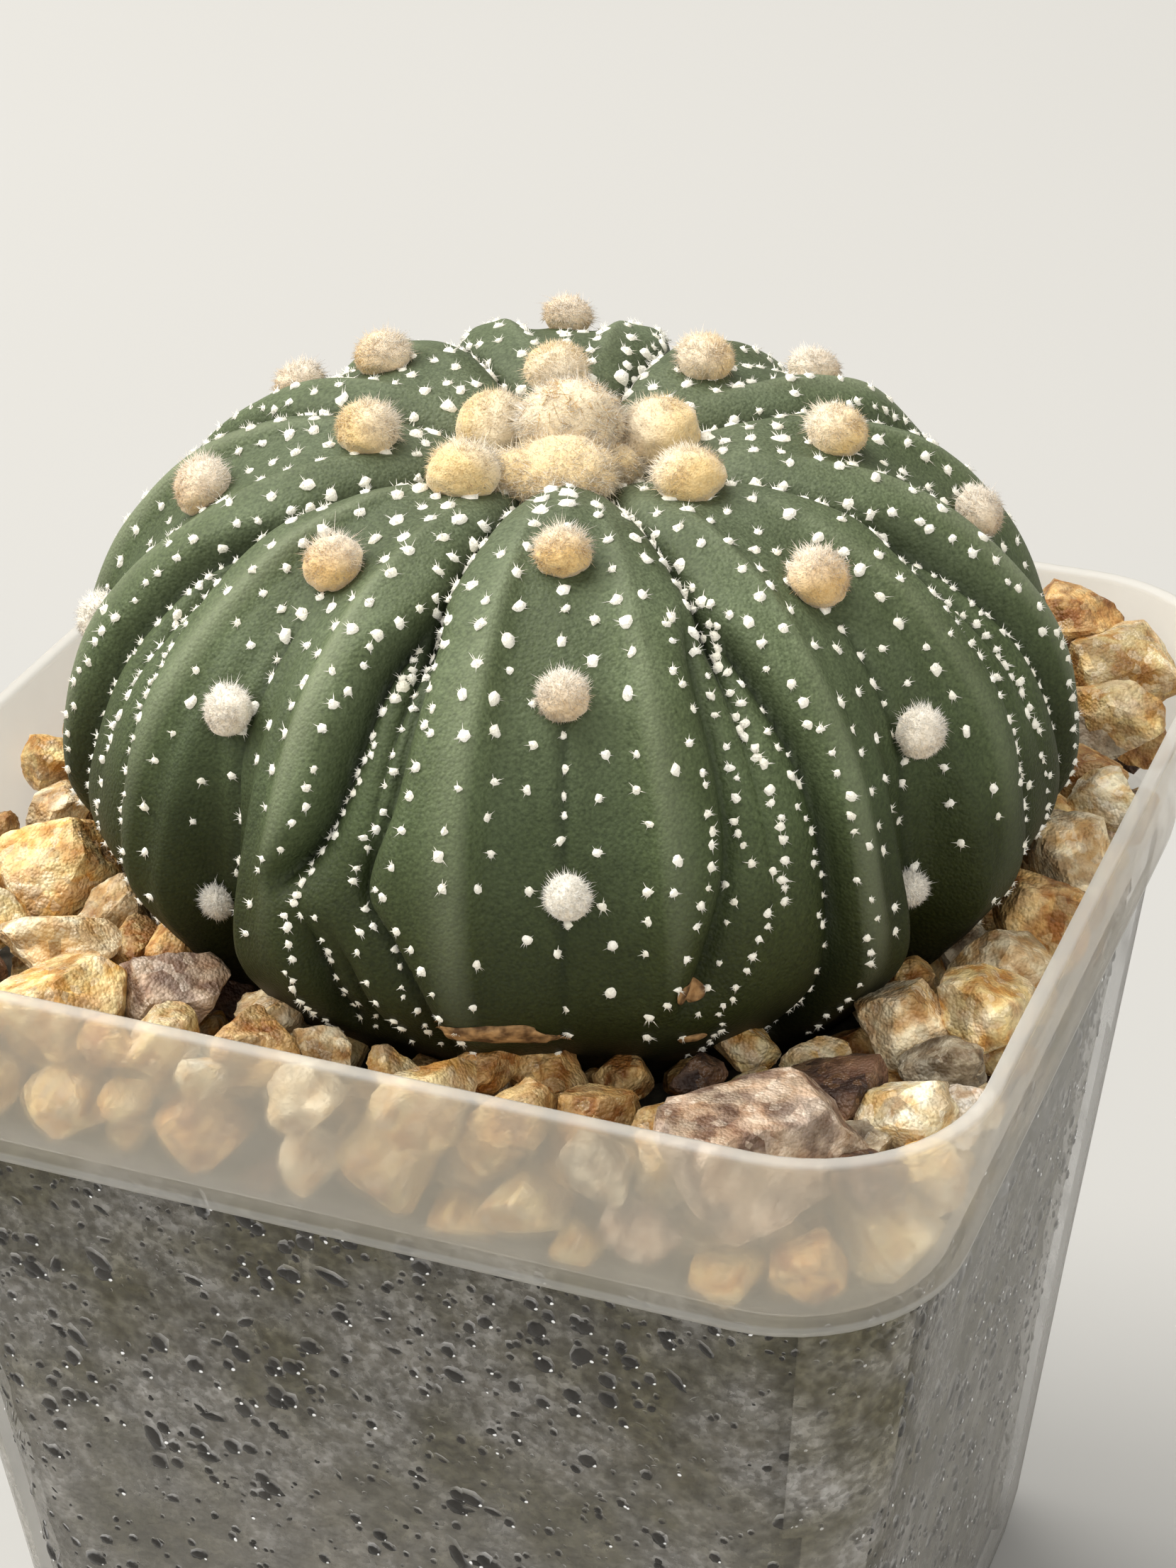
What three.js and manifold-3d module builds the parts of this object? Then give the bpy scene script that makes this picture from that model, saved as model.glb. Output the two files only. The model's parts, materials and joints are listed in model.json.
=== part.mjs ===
// Potted fukuryu star cactus: a spineless eight-ribbed cactus in a square translucent pot,
// standing in soil under a top dressing of coarse stones.
// Millimetres, +Z up. The origin is the middle of the pot's underside, and -Y is the front.

import * as THREE from 'three';
import { mergeVertices } from 'three/addons/utils/BufferGeometryUtils.js';
import Module from 'manifold-3d';

const wasm = await Module();
wasm.setup();

// Driving dimensions of the pot. A half is half the width across the flats of the square.
const POT_HEIGHT = 75;
const WALL = 1.1;
const RIM_HALF = 37.5;
const RIM_CORNER = 11;
const BAND_HEIGHT = 13.7;
const BAND_FOOT_HALF = 35.4;
const BODY_TOP_HALF = 34.5;
const BODY_TOP_CORNER = 10;
const FOOT_HALF = 27.8;
const FOOT_CORNER = 7;
const FLOOR = 1.4;
const DRAIN_RADIUS = 3.2;
const DRAIN_SPREAD = 14;
const CORNER_STEPS = 5;

// Driving dimensions of the fill.
const GAP = 0.3;
const SOIL_TOP = 60.9;
const BED_TOP = 68;
const STONE_TOP = 72.3;
const STONE_TRIES = 2600;
const STONE_SEED = 4711;
const STONE_WIDTHS = [5, 8.5];
const STONE_CROWDING = 0.39;
const STONE_REACH = [25, 33.4];

// Driving dimensions of the cactus. Angles are in degrees: an azimuth is measured about the
// plant's axis from -Y towards +X, and theta is measured from the crown down.
const PLANT_BASE = new THREE.Vector3(0.6, 2.5, 71.4);
const PLANT_LEAN = [1.2, 1.2];
const RIB_COUNT = 8;
const RIB_PITCH = 360 / RIB_COUNT;
const RIB_AZIMUTHS = [20.7, 65.3, 113, 159, 203, 247, 291.5, 338];
const RIB_SIZES = [1.04, 0.99, 0.98, 0.975, 0.98, 0.985, 0.985, 0.995];
const PROFILE = [[0, 21.3], [15, 25.2], [30, 29.2], [45, 32.4], [60, 33.8], [72, 33.7], [82, 33],
  [90, 30], [98, 27], [110, 23.9], [132, 20.6], [150, 21.5], [168, 26], [180, 30]];
const ROWS = [5, 10, 15, 21, 27, 33, 39, 45, 51, 57, 63, 69, 75, 81, 87, 93, 99, 110, 134, 158];
const COLUMNS = [-22.5, -18, -14, -11, -8.5, -6.5, -4.5, -2.5, 0, 2.5, 4.5, 6.5, 8.5, 11, 14, 18];

// The rise and fall of the ribs over theta, in millimetres.
const FURROW_DEPTH = [[0, 0.2], [15, 0.9], [30, 1.5], [42, 1.7], [54, 1.1], [68, 0.6], [100, 0.4]];
const ARCH_DEPTH = [[0, 0.1], [15, 0.5], [30, 0.7], [50, 0.8], [75, 0.7], [100, 0.5]];
const CREST_DEPTH = [[30, 0], [45, 0.35], [60, 0.8], [75, 1.1], [92, 1.1], [104, 0]];
const SPLIT_CREST_DEPTH = [[34, 0], [50, 0.5], [62, 1.3], [76, 3], [92, 3.4], [106, 0]];
const SPLIT_CREST_RIBS = [1, 7];

// The folds beside each furrow, as [theta, degrees from the furrow], with their depth.
const USUAL_FOLDS = [
  { path: [[40, -1], [48, -3.6], [60, -5.2], [72, -6.6], [96, -8.5]], depth: 1.7 },
  { path: [[40, 1], [48, 3.2], [60, 5.6], [72, 7.6], [96, 9.5]], depth: 1.8 },
];
const FRONT_RIGHT_FOLDS = [
  { path: [[41, -3.2], [49, -4.6], [60, -4.5], [68, -5.2], [76, -8], [82, -10.5]], depth: 1.5 },
  { path: [[42, 1.5], [50, 4], [59, 6.4], [68, 7.3], [77, 7.2], [97, 6]], depth: 2.1 },
];
const FRONT_LEFT_FOLDS = [
  { path: [[41, -0.9], [49, -4.1], [60, -5], [66, -6.4], [72, -10]], depth: 2.2 },
  { path: [[41, 1], [52, 2.4], [62, 2.2], [71, 0.1], [76, 4], [81, 7], [90, 10]], depth: 1.8 },
  { path: [[75, -7.2], [81, -5.3], [90, -4]], depth: 1.4 },
];
const FOLDS = RIB_AZIMUTHS.map(() => USUAL_FOLDS);
FOLDS[0] = FRONT_RIGHT_FOLDS;
FOLDS[7] = FRONT_LEFT_FOLDS;

// Each rib's wool tufts, as thetas from the crown down.
const TUFTS = [
  [33.9, 50.1, 69.1],
  [21, 42.2, 61.3, 79],
  [13.5, 33.9, 53.1, 71],
  [28.7, 46, 65, 82],
  [19, 41, 60, 78],
  [35.3, 51, 69],
  [12.5, 26.4, 46.6, 69.3],
  [19.1, 39.9, 58.5, 79.9],
];
const TUFT_RADIUS = [[8, 2], [40, 1.85], [60, 1.65], [80, 1.15], [90, 0.9]];
const CROWN_TUFT = { radius: 3.1, height: 3, rise: 0.6 };
const FLECK = { width: 1, length: 0.85, root: 0.35 };

const COLOURS = { plastic: 0xd5d2cc, soil: 0x6a6258, stone: 0xc79f5a, skin: 0x4c6346 };

// A repeatable series of numbers from 0 to 1.
function seededRandom(seed) {
  let state = seed;
  return () => {
    state = (state * 16807) % 2147483647;
    return state / 2147483647;
  };
}

const radians = THREE.MathUtils.degToRad;

// A smooth curve through [x, y] points, level beyond its two ends.
function curveThrough(points, x) {
  const last = points.length - 1;
  if (x <= points[0][0]) return points[0][1];
  if (x >= points[last][0]) return points[last][1];
  let i = 0;
  while (x > points[i + 1][0]) i++;
  const slope = (k) => {
    const before = points[Math.max(k - 1, 0)];
    const after = points[Math.min(k + 1, last)];
    return (after[1] - before[1]) / (after[0] - before[0]);
  };
  const width = points[i + 1][0] - points[i][0];
  const t = (x - points[i][0]) / width;
  const start = points[i][1] * (1 + 2 * t) * (1 - t) ** 2 + slope(i) * width * t * (1 - t) ** 2;
  const end = points[i + 1][1] * t * t * (3 - 2 * t) - slope(i + 1) * width * t * t * (1 - t);
  return start + end;
}

const smoothStep = (from, to, x) => THREE.MathUtils.smoothstep(x, from, to);

// Meshes into solids and back.
function closed(geometry) {
  geometry.deleteAttribute('normal');
  geometry.deleteAttribute('uv');
  return mergeVertices(geometry, 1e-4);
}

function solid(geometry) {
  return new wasm.Manifold(new wasm.Mesh({
    numProp: 3,
    vertProperties: new Float32Array(geometry.attributes.position.array),
    triVerts: new Uint32Array(geometry.index.array),
  }));
}

// The main body of a cut solid, without the scraps that a cut leaves loose.
function mainBody(manifold) {
  return manifold.decompose().reduce((best, body) => (body.volume() > best.volume() ? body : best));
}

function geometryOf(manifold) {
  const mesh = manifold.getMesh();
  const geometry = new THREE.BufferGeometry();
  geometry.setAttribute('position', new THREE.BufferAttribute(mesh.vertProperties, 3));
  geometry.setIndex(new THREE.BufferAttribute(mesh.triVerts, 1));
  return geometry;
}

// A closed skin over rings of points, listed from the lowest up, each ring anticlockwise from above.
function loft(rings) {
  const count = rings[0].length;
  const points = rings.flat();
  const ends = [rings[0], rings[rings.length - 1]].map((ring) => ring
    .reduce((sum, point) => sum.add(point), new THREE.Vector3()).divideScalar(count));
  const bottom = points.push(ends[0]) - 1;
  const top = points.push(ends[1]) - 1;
  const faces = [];
  for (let row = 0; row < rings.length - 1; row++) {
    for (let i = 0; i < count; i++) {
      const a = row * count + i;
      const b = row * count + (i + 1) % count;
      faces.push(a, b, b + count, a, b + count, a + count);
    }
  }
  const topRow = (rings.length - 1) * count;
  for (let i = 0; i < count; i++) {
    const next = (i + 1) % count;
    faces.push(bottom, next, i, top, topRow + i, topRow + next);
  }
  const geometry = new THREE.BufferGeometry().setFromPoints(points);
  geometry.setIndex(faces);
  return geometry;
}

function squareRing(half, corner, z) {
  const ring = [];
  for (const [quarter, [sideX, sideY]] of [[1, -1], [1, 1], [-1, 1], [-1, -1]].entries()) {
    for (let step = 0; step <= CORNER_STEPS; step++) {
      const angle = radians(90 * (quarter - 1 + step / CORNER_STEPS));
      const x = (half - corner) * sideX + corner * Math.cos(angle);
      const y = (half - corner) * sideY + corner * Math.sin(angle);
      ring.push(new THREE.Vector3(x, y, z));
    }
  }
  return ring;
}

function disc(radius, z, sides) {
  return Array.from({ length: sides }, (_, i) => {
    const angle = 2 * Math.PI * i / sides;
    return new THREE.Vector3(radius * Math.cos(angle), radius * Math.sin(angle), z);
  });
}

// The pot: a thin tapered wall with a wider sloping band under the rim.
const LEDGE = POT_HEIGHT - BAND_HEIGHT;

function potOutside() {
  return solid(loft([
    squareRing(FOOT_HALF, FOOT_CORNER, 0),
    squareRing(BODY_TOP_HALF, BODY_TOP_CORNER, LEDGE),
    squareRing(BAND_FOOT_HALF, BODY_TOP_CORNER + 0.6, LEDGE + 0.2),
    squareRing(RIM_HALF, RIM_CORNER, POT_HEIGHT),
  ]));
}

// The room inside the pot, drawn in by a gap from its walls and floor.
function potInside(gap, top = POT_HEIGHT + 1) {
  const inset = WALL + gap;
  return solid(loft([
    squareRing(FOOT_HALF - inset, FOOT_CORNER - inset, FLOOR + gap),
    squareRing(BODY_TOP_HALF - inset, BODY_TOP_CORNER - inset, LEDGE + WALL + gap),
    squareRing(BAND_FOOT_HALF - inset, BODY_TOP_CORNER - inset, LEDGE + WALL + gap + 0.4),
    squareRing(RIM_HALF - inset, RIM_CORNER - inset, top),
  ]));
}

function makePot() {
  const spots = [[0, 0], [-1, -1], [1, -1], [1, 1], [-1, 1]];
  const drains = spots.map(([x, y]) => {
    const hole = loft([disc(DRAIN_RADIUS, -1, 16), disc(DRAIN_RADIUS, FLOOR + 1, 16)]);
    return solid(hole.translate(x * DRAIN_SPREAD, y * DRAIN_SPREAD, 0));
  });
  const pot = wasm.Manifold.union(drains).add(potInside(0));
  return geometryOf(potOutside().subtract(pot));
}

// The plant's own frame stands at gravel level and leans a little.
const plantPlace = new THREE.Object3D();
plantPlace.position.copy(PLANT_BASE);
plantPlace.rotation.set(radians(PLANT_LEAN[0]), radians(PLANT_LEAN[1]), 0);
plantPlace.updateMatrix();

function direction(azimuth, theta) {
  const a = radians(azimuth);
  const t = radians(theta);
  return new THREE.Vector3(Math.sin(t) * Math.sin(a), -Math.sin(t) * Math.cos(a), Math.cos(t));
}

// The azimuth that lies across degrees from the furrow between rib number rib and the next one.
function azimuthBesideFurrow(rib, across) {
  const start = RIB_AZIMUTHS[rib];
  const end = RIB_AZIMUTHS[(rib + 1) % RIB_COUNT] + (rib === RIB_COUNT - 1 ? 360 : 0);
  return start + (end - start) * (0.5 + across / RIB_PITCH);
}

function foldDrop(fold, across, theta) {
  const first = fold.path[0][0];
  const last = fold.path[fold.path.length - 1][0];
  const strength = smoothStep(first - 2, first + 5, theta) * (1 - smoothStep(last - 3, last + 3, theta));
  const distance = (across - curveThrough(fold.path, theta)) * Math.sign(fold.path[1][1]);
  return fold.depth * strength * Math.exp(-Math.abs(distance) / (distance > 0 ? 1.4 : 3));
}

// How far the skin lies inside the smooth outline.
function skinDrop(rib, across, theta) {
  const near = 1 - Math.abs(across) / (RIB_PITCH / 2);
  const crestRib = across > 0 ? (rib + 1) % RIB_COUNT : rib;
  const fromCrest = RIB_PITCH / 2 - Math.abs(across);
  const arch = curveThrough(ARCH_DEPTH, theta) * near * near;
  const furrow = curveThrough(FURROW_DEPTH, theta) * Math.exp(-Math.abs(across) / 3.2);
  const crestDepth = SPLIT_CREST_RIBS.includes(crestRib) ? SPLIT_CREST_DEPTH : CREST_DEPTH;
  const crest = curveThrough(crestDepth, theta) * (1 - smoothStep(2, 10, fromCrest));
  const folds = FOLDS[rib].reduce((sum, fold) => sum + foldDrop(fold, across, theta), 0);
  const buried = 1 - smoothStep(96, 112, theta);
  return (arch + furrow + crest + folds) * buried;
}

// Each rib has a size of its own above ground, and the skin passes smoothly from one to the next.
const aboveGround = (theta) => 1 - smoothStep(86, 98, theta);

function ribSize(rib, across, theta) {
  const share = 0.5 + across / RIB_PITCH;
  const size = THREE.MathUtils.lerp(RIB_SIZES[rib], RIB_SIZES[(rib + 1) % RIB_COUNT], share);
  return 1 + (size - 1) * aboveGround(theta);
}

function skinPoint(rib, across, theta, out = 0) {
  const outline = curveThrough(PROFILE, theta) * ribSize(rib, across, theta);
  const radius = outline - skinDrop(rib, across, theta) + out;
  return direction(azimuthBesideFurrow(rib, across), theta).multiplyScalar(radius);
}

// The body with its ribs and folds, from the taproot's tip up to the crown.
function plantBody() {
  const rings = [...ROWS].reverse().map((theta) => RIB_AZIMUTHS.flatMap((_, rib) => COLUMNS
    .map((across) => skinPoint(rib, across, theta))));
  const geometry = loft(rings);
  const position = geometry.attributes.position;
  position.setXYZ(position.count - 2, 0, 0, -curveThrough(PROFILE, 180));
  position.setXYZ(position.count - 1, 0, 0, curveThrough(PROFILE, 0));
  return geometry;
}

// The smooth outline a little outside the body, which the soil and stones are kept clear of.
function plantClearance() {
  const outline = [174, ...[...ROWS].reverse()].map((theta) => {
    const largest = 1 + (Math.max(...RIB_SIZES) - 1) * aboveGround(theta);
    const radius = curveThrough(PROFILE, theta) * largest + GAP + 0.1;
    return new THREE.Vector2(radius * Math.sin(radians(theta)), radius * Math.cos(radians(theta)));
  });
  const lowest = new THREE.Vector2(0, -curveThrough(PROFILE, 180) - GAP);
  const highest = new THREE.Vector2(0, curveThrough(PROFILE, 0) + GAP);
  const profile = [lowest, ...outline, highest];
  const geometry = closed(new THREE.LatheGeometry(profile, 48).rotateX(Math.PI / 2));
  return solid(geometry.applyMatrix4(plantPlace.matrix));
}

// A low ball of wool, sunk into the skin along its own direction.
function tuft(centre, outwards, radius, height) {
  const ball = closed(new THREE.OctahedronGeometry(1, 1));
  ball.scale(radius, radius, height);
  ball.applyQuaternion(new THREE.Quaternion().setFromUnitVectors(new THREE.Vector3(0, 0, 1), outwards));
  return solid(ball.translate(centre.x, centre.y, centre.z));
}

function skinNormal(rib, across, theta) {
  const step = 1.5;
  const down = skinPoint(rib, across, theta + step).sub(skinPoint(rib, across, theta - step));
  const along = skinPoint(rib, across + step, theta).sub(skinPoint(rib, across - step, theta));
  return down.cross(along).normalize();
}

function ribTufts() {
  return TUFTS.flatMap((thetas, rib) => thetas.map((theta) => {
    const radius = curveThrough(TUFT_RADIUS, theta);
    const outwards = direction(azimuthBesideFurrow(rib, -RIB_PITCH / 2), theta);
    return tuft(skinPoint(rib, -RIB_PITCH / 2, theta, 0.35 * radius), outwards, radius, radius * 0.85);
  }));
}

function crownTuft() {
  const top = new THREE.Vector3(0, 0, curveThrough(PROFILE, 0) + CROWN_TUFT.rise);
  return tuft(top, new THREE.Vector3(0, 0, 1), CROWN_TUFT.radius, CROWN_TUFT.height);
}

// One fleck of white scale: a low three-sided point with its root sunk into the skin.
function fleck(rib, across, theta) {
  const root = skinPoint(rib, across, theta, -FLECK.root);
  const outwards = skinNormal(rib, across, theta);
  const point = closed(new THREE.ConeGeometry(FLECK.width / 2, FLECK.length, 3).rotateX(Math.PI / 2));
  point.translate(0, 0, FLECK.length / 2);
  point.applyQuaternion(new THREE.Quaternion().setFromUnitVectors(new THREE.Vector3(0, 0, 1), outwards));
  return solid(point.translate(root.x, root.y, root.z));
}

// The flecks stand in lines: down each furrow, along the folds, and on the ribs' flanks.
function fleckSpots() {
  const spots = [];
  const line = (rib, from, to, step, across) => {
    for (let theta = from; theta <= to; theta += step) spots.push([rib, across(theta), theta]);
  };
  for (let rib = 0; rib < RIB_COUNT; rib++) {
    line(rib, 17, 38, 6, () => 0);
    line(rib, 43, 76, 7, () => 0.6);
    for (const fold of FOLDS[rib]) {
      const side = Math.sign(fold.path[1][1]);
      line(rib, fold.path[0][0] + 8, 88, 13, (theta) => curveThrough(fold.path, theta) - 2.2 * side);
    }
    line(rib, 24, 70, 15, () => -13);
    line(rib, 28, 72, 15, () => 13);
    line(rib, 34, 78, 16, () => -9.5);
    line(rib, 31, 78, 16, () => 9.5);
  }
  return spots;
}

function makePlant() {
  const flecks = fleckSpots().map(([rib, across, theta]) => fleck(rib, across, theta));
  const grown = wasm.Manifold.union([solid(plantBody()), crownTuft(), ...ribTufts(), ...flecks]);
  return geometryOf(mainBody(grown));
}

// The stones that lie where they are seen, as [x, y, width, height of the middle].
const SEEN_STONES = [
  [-27.4, -16.4, 7.5, 70], [-33, -5, 5, 70.5], [-33, -0.5, 4, 70.5], [-30.5, -9.5, 5, 69.5],
  [-22.5, -24, 6, 70], [-19, -29.5, 8, 70], [-28.5, -23, 5, 69.5], [-14, -26.5, 6.5, 69.5],
  [-11.7, -31.7, 5, 70], [-6.8, -30.6, 6, 69.5], [-15, -33.2, 4, 70], [-2, -33.5, 5, 69.5],
  [5, -32.4, 7, 70], [10.6, -31.4, 5.5, 69.8], [14.8, -30, 5.2, 69.8], [16.5, -33.4, 5, 69],
  [20.2, -29.2, 6.5, 69.5], [25.8, -29.8, 10, 69], [26.8, -22.6, 6.5, 68.5], [31.2, -24.2, 5.5, 69.8],
  [33.5, -20.6, 5, 69.5], [30.8, -29.2, 5, 69], [33.2, -27, 4, 69], [28.6, -14.6, 7, 70],
  [31.8, -17.8, 5, 69.5], [32.4, -12.2, 7.5, 70], [32.8, -6.6, 6.5, 70], [32.6, -0.4, 7, 70],
  [32.8, 6.8, 6.5, 70], [33.2, 14.4, 6, 70], [30.4, 19.4, 5, 70], [30.2, 24.6, 6.5, 70],
  [29.5, 31, 8, 70], [33.8, 26, 5, 70], [22.5, 33, 6, 70],
];

function stone([x, y, width, middle], random) {
  const lump = closed(new THREE.IcosahedronGeometry(width / 2, 0));
  const position = lump.attributes.position;
  for (let i = 0; i < position.count; i++) {
    const swell = 1 + 0.28 * random();
    position.setXYZ(i, position.getX(i) * swell, position.getY(i) * swell * 0.92, position.getZ(i) * swell * 0.8);
  }
  const turn = new THREE.Euler(0.5 * (random() - 0.5), 0.5 * (random() - 0.5), 2 * Math.PI * random());
  lump.applyQuaternion(new THREE.Quaternion().setFromEuler(turn));
  return lump.translate(x, y, middle);
}

// The other stones fill the room round the plant by a rule, none of them deep inside another.
function stoneSpots(random) {
  const spots = [...SEEN_STONES];
  const [nearest, reach] = STONE_REACH;
  for (let tried = 0; tried < STONE_TRIES; tried++) {
    const x = reach * (2 * random() - 1);
    const y = reach * (2 * random() - 1);
    const width = THREE.MathUtils.lerp(...STONE_WIDTHS, random());
    const middle = STONE_TOP - 0.46 * width - 0.8 * random();
    const fromPlant = Math.hypot(x - PLANT_BASE.x, y - PLANT_BASE.y);
    const crowded = spots.some((spot) => (
      Math.hypot(x - spot[0], y - spot[1]) < STONE_CROWDING * (width + spot[2])));
    if (fromPlant > nearest && !crowded) spots.push([x, y, width, middle]);
  }
  return spots;
}

function makeGravel(clearance) {
  const random = seededRandom(STONE_SEED);
  const bed = loft([
    squareRing(RIM_HALF, RIM_CORNER, SOIL_TOP + GAP),
    squareRing(RIM_HALF, RIM_CORNER, BED_TOP),
  ]);
  const stones = stoneSpots(random).map((spot) => solid(stone(spot, random)));
  const layer = wasm.Manifold.union([solid(bed), ...stones]);
  return geometryOf(mainBody(layer.intersect(potInside(GAP)).subtract(clearance)));
}

// The soil fills the pot up to the stones, with a plain hole for the foot of the plant.
function makeSoil(clearance) {
  const below = solid(loft([
    squareRing(RIM_HALF, RIM_CORNER, 0),
    squareRing(RIM_HALF, RIM_CORNER, SOIL_TOP),
  ]));
  return geometryOf(potInside(GAP).intersect(below).subtract(clearance));
}

function mesh(name, geometry, colour, roughness, options = {}) {
  const material = new THREE.MeshStandardMaterial({ color: colour, roughness, metalness: 0, ...options });
  const made = new THREE.Mesh(geometry, material);
  made.name = name;
  return made;
}

const clearance = plantClearance();
const pottedCactus = new THREE.Group();
const plastic = { transparent: true, opacity: 0.45 };
pottedCactus.add(mesh('pot', makePot(), COLOURS.plastic, 0.45, plastic));
pottedCactus.add(mesh('soil', makeSoil(clearance), COLOURS.soil, 0.95));
pottedCactus.add(mesh('gravel', makeGravel(clearance), COLOURS.stone, 0.85));

const cactus = mesh('cactus', makePlant(), COLOURS.skin, 0.7);
cactus.position.copy(plantPlace.position);
cactus.rotation.copy(plantPlace.rotation);
pottedCactus.add(cactus);

export default pottedCactus;
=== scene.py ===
# %% [markdown]
# # A star cactus in a square pot
# This lesson dresses a plain solid model of a potted cactus. The solids give the true sizes, and
# each step below replaces one of them with a finer surface: the skin with its folds, the white
# flecks, the wool, the stones, the soil, the dew on the wall and the pot itself.
# Lengths are written in millimetres, as a gardener would measure them, and turned into metres
# only where a mesh is made.

# %% Load the frame
import json
import math
import bpy
import bmesh
import numpy as np
from mathutils import Vector, Matrix

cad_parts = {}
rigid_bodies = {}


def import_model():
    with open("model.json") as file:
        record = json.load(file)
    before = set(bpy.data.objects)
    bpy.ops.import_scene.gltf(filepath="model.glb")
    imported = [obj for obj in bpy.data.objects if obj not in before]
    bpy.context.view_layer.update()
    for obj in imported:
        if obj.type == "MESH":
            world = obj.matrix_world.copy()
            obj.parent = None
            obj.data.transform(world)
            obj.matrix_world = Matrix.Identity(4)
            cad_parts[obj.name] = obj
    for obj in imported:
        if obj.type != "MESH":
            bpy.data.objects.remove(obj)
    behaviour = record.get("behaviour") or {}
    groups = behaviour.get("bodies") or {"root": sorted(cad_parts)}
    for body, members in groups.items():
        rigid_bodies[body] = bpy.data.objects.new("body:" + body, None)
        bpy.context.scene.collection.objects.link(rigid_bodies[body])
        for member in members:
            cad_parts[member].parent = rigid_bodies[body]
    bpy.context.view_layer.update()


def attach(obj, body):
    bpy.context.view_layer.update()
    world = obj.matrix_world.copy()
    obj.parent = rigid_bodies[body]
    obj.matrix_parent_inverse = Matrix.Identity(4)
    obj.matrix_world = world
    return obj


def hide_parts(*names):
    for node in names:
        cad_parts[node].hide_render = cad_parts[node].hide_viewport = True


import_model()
MM = 0.001

# %% [markdown]
# ## The camera
# The photograph looks down on the pot's front right corner from about 30 degrees, with a long
# lens, so the sides of the pot hardly converge. The camera could be placed by eye, but a camera
# built from its three axes keeps the small roll of a hand-held picture as well.

# %% Camera
LOOK_AT = Vector((3.843, -2.881, 75.0)) * MM
DISTANCE = 224.65 * MM
AZIMUTH, ELEVATION, ROLL = (math.radians(angle) for angle in (21.884, 29.883, -0.981))
FOCAL_LENGTH = 81.66
SENSOR_WIDTH = 36
back = Vector((math.sin(AZIMUTH) * math.cos(ELEVATION),
               -math.cos(AZIMUTH) * math.cos(ELEVATION), math.sin(ELEVATION)))
right = (-back).cross(Vector((0, 0, 1))).normalized()
up = right.cross(-back)
lens = bpy.data.cameras.new("camera")
lens.sensor_width = SENSOR_WIDTH
lens.lens = FOCAL_LENGTH
lens.clip_start = 0.01
camera = bpy.data.objects.new("camera", lens)
axes = Matrix((right * math.cos(ROLL) + up * math.sin(ROLL),
               up * math.cos(ROLL) - right * math.sin(ROLL), back)).transposed()
camera.matrix_world = Matrix.Translation(LOOK_AT + back * DISTANCE) @ axes.to_4x4()
bpy.context.scene.collection.objects.link(camera)
bpy.context.scene.camera = camera
print("camera stands at", [round(value, 3) for value in camera.location])

# %% [markdown]
# ## Tools for shapes
# A living surface is easiest to write as numbers: one curve says how the outline swells from
# the crown down, another how deep a furrow is. So the first helpers are a smooth curve through
# given points, a soft random field, and a way to turn arrays of points into a mesh.

# %% Smooth curves
def curve_through(points, x):
    """A smooth curve through (x, y) points, level beyond both ends."""
    xs, ys = np.array(points, float).T
    x = np.asarray(x, float)
    before = np.maximum(np.arange(len(xs)) - 1, 0)
    after = np.minimum(np.arange(len(xs)) + 1, len(xs) - 1)
    slope = (ys[after] - ys[before]) / (xs[after] - xs[before])
    i = np.clip(np.searchsorted(xs, x) - 1, 0, len(xs) - 2)
    width = xs[i + 1] - xs[i]
    t = np.clip((x - xs[i]) / width, 0, 1)
    start = ys[i] * (1 + 2 * t) * (1 - t) ** 2 + slope[i] * width * t * (1 - t) ** 2
    return start + ys[i + 1] * t * t * (3 - 2 * t) - slope[i + 1] * width * t * t * (1 - t)


def smooth_step(low, high, x):
    t = np.clip((x - low) / (high - low), 0, 1)
    return t * t * (3 - 2 * t)


print("curve at 45 degrees:", curve_through([(0, 22), (45, 31), (90, 26)], 45.0))

# %% Soft noise and turns
SHUFFLE = np.array([73856093, 19349663, 83492791])
SHIFT = 17.3


def soft_noise(points, size, seed=0):
    """Smooth random numbers from -1 to 1 over points, with lumps about size millimetres wide."""
    place = np.asarray(points, float) / size + 100 + seed * SHIFT
    cell = np.floor(place).astype(np.int64)
    part = place - cell
    part = part * part * (3 - 2 * part)
    total = np.zeros(len(place))
    for corner in np.ndindex(2, 2, 2):
        key = (cell + corner) @ SHUFFLE + seed * 2654435
        key = (key ^ (key >> 13)) * 1274126177 & 0xFFFFFFFF
        value = ((key ^ (key >> 16)) & 0xFFFF) / 32767.5 - 1
        total += value * np.prod(np.where(corner, part, 1 - part), axis=1)
    return total


def unit(ways):
    """The same ways with a length of one."""
    return ways / np.linalg.norm(ways, axis=-1, keepdims=True)


def spun(*turns):
    """One 3 by 3 array for turns of (angle, axis), of which the last comes first."""
    whole = Matrix.Identity(3)
    for angle, axis in turns:
        whole = whole @ Matrix.Rotation(angle, 3, axis)
    return np.array(whole)


print("noise at three places:", soft_noise([(0, 0, 0), (1, 2, 3), (4, 5, 6)], 2.0).round(2))

# %% Meshes from arrays
def new_piece(name, points, faces, smooth=True):
    """A mesh object from points in millimetres and an array of faces with equal corners."""
    mesh = bpy.data.meshes.new(name)
    mesh.vertices.add(len(points))
    mesh.vertices.foreach_set("co", (np.asarray(points, np.float32) * MM).ravel())
    faces = np.asarray(faces, np.int32)
    mesh.loops.add(faces.size)
    mesh.loops.foreach_set("vertex_index", faces.ravel())
    mesh.polygons.add(len(faces))
    mesh.polygons.foreach_set("loop_start", np.arange(0, faces.size, faces.shape[1], dtype=np.int32))
    mesh.polygons.foreach_set("use_smooth", np.full(len(faces), smooth))
    mesh.update(calc_edges=True)
    mesh.validate()
    piece = bpy.data.objects.new(name, mesh)
    bpy.context.scene.collection.objects.link(piece)
    print(f"{name}: {len(points)} points, {len(faces)} faces")
    return piece


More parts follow.
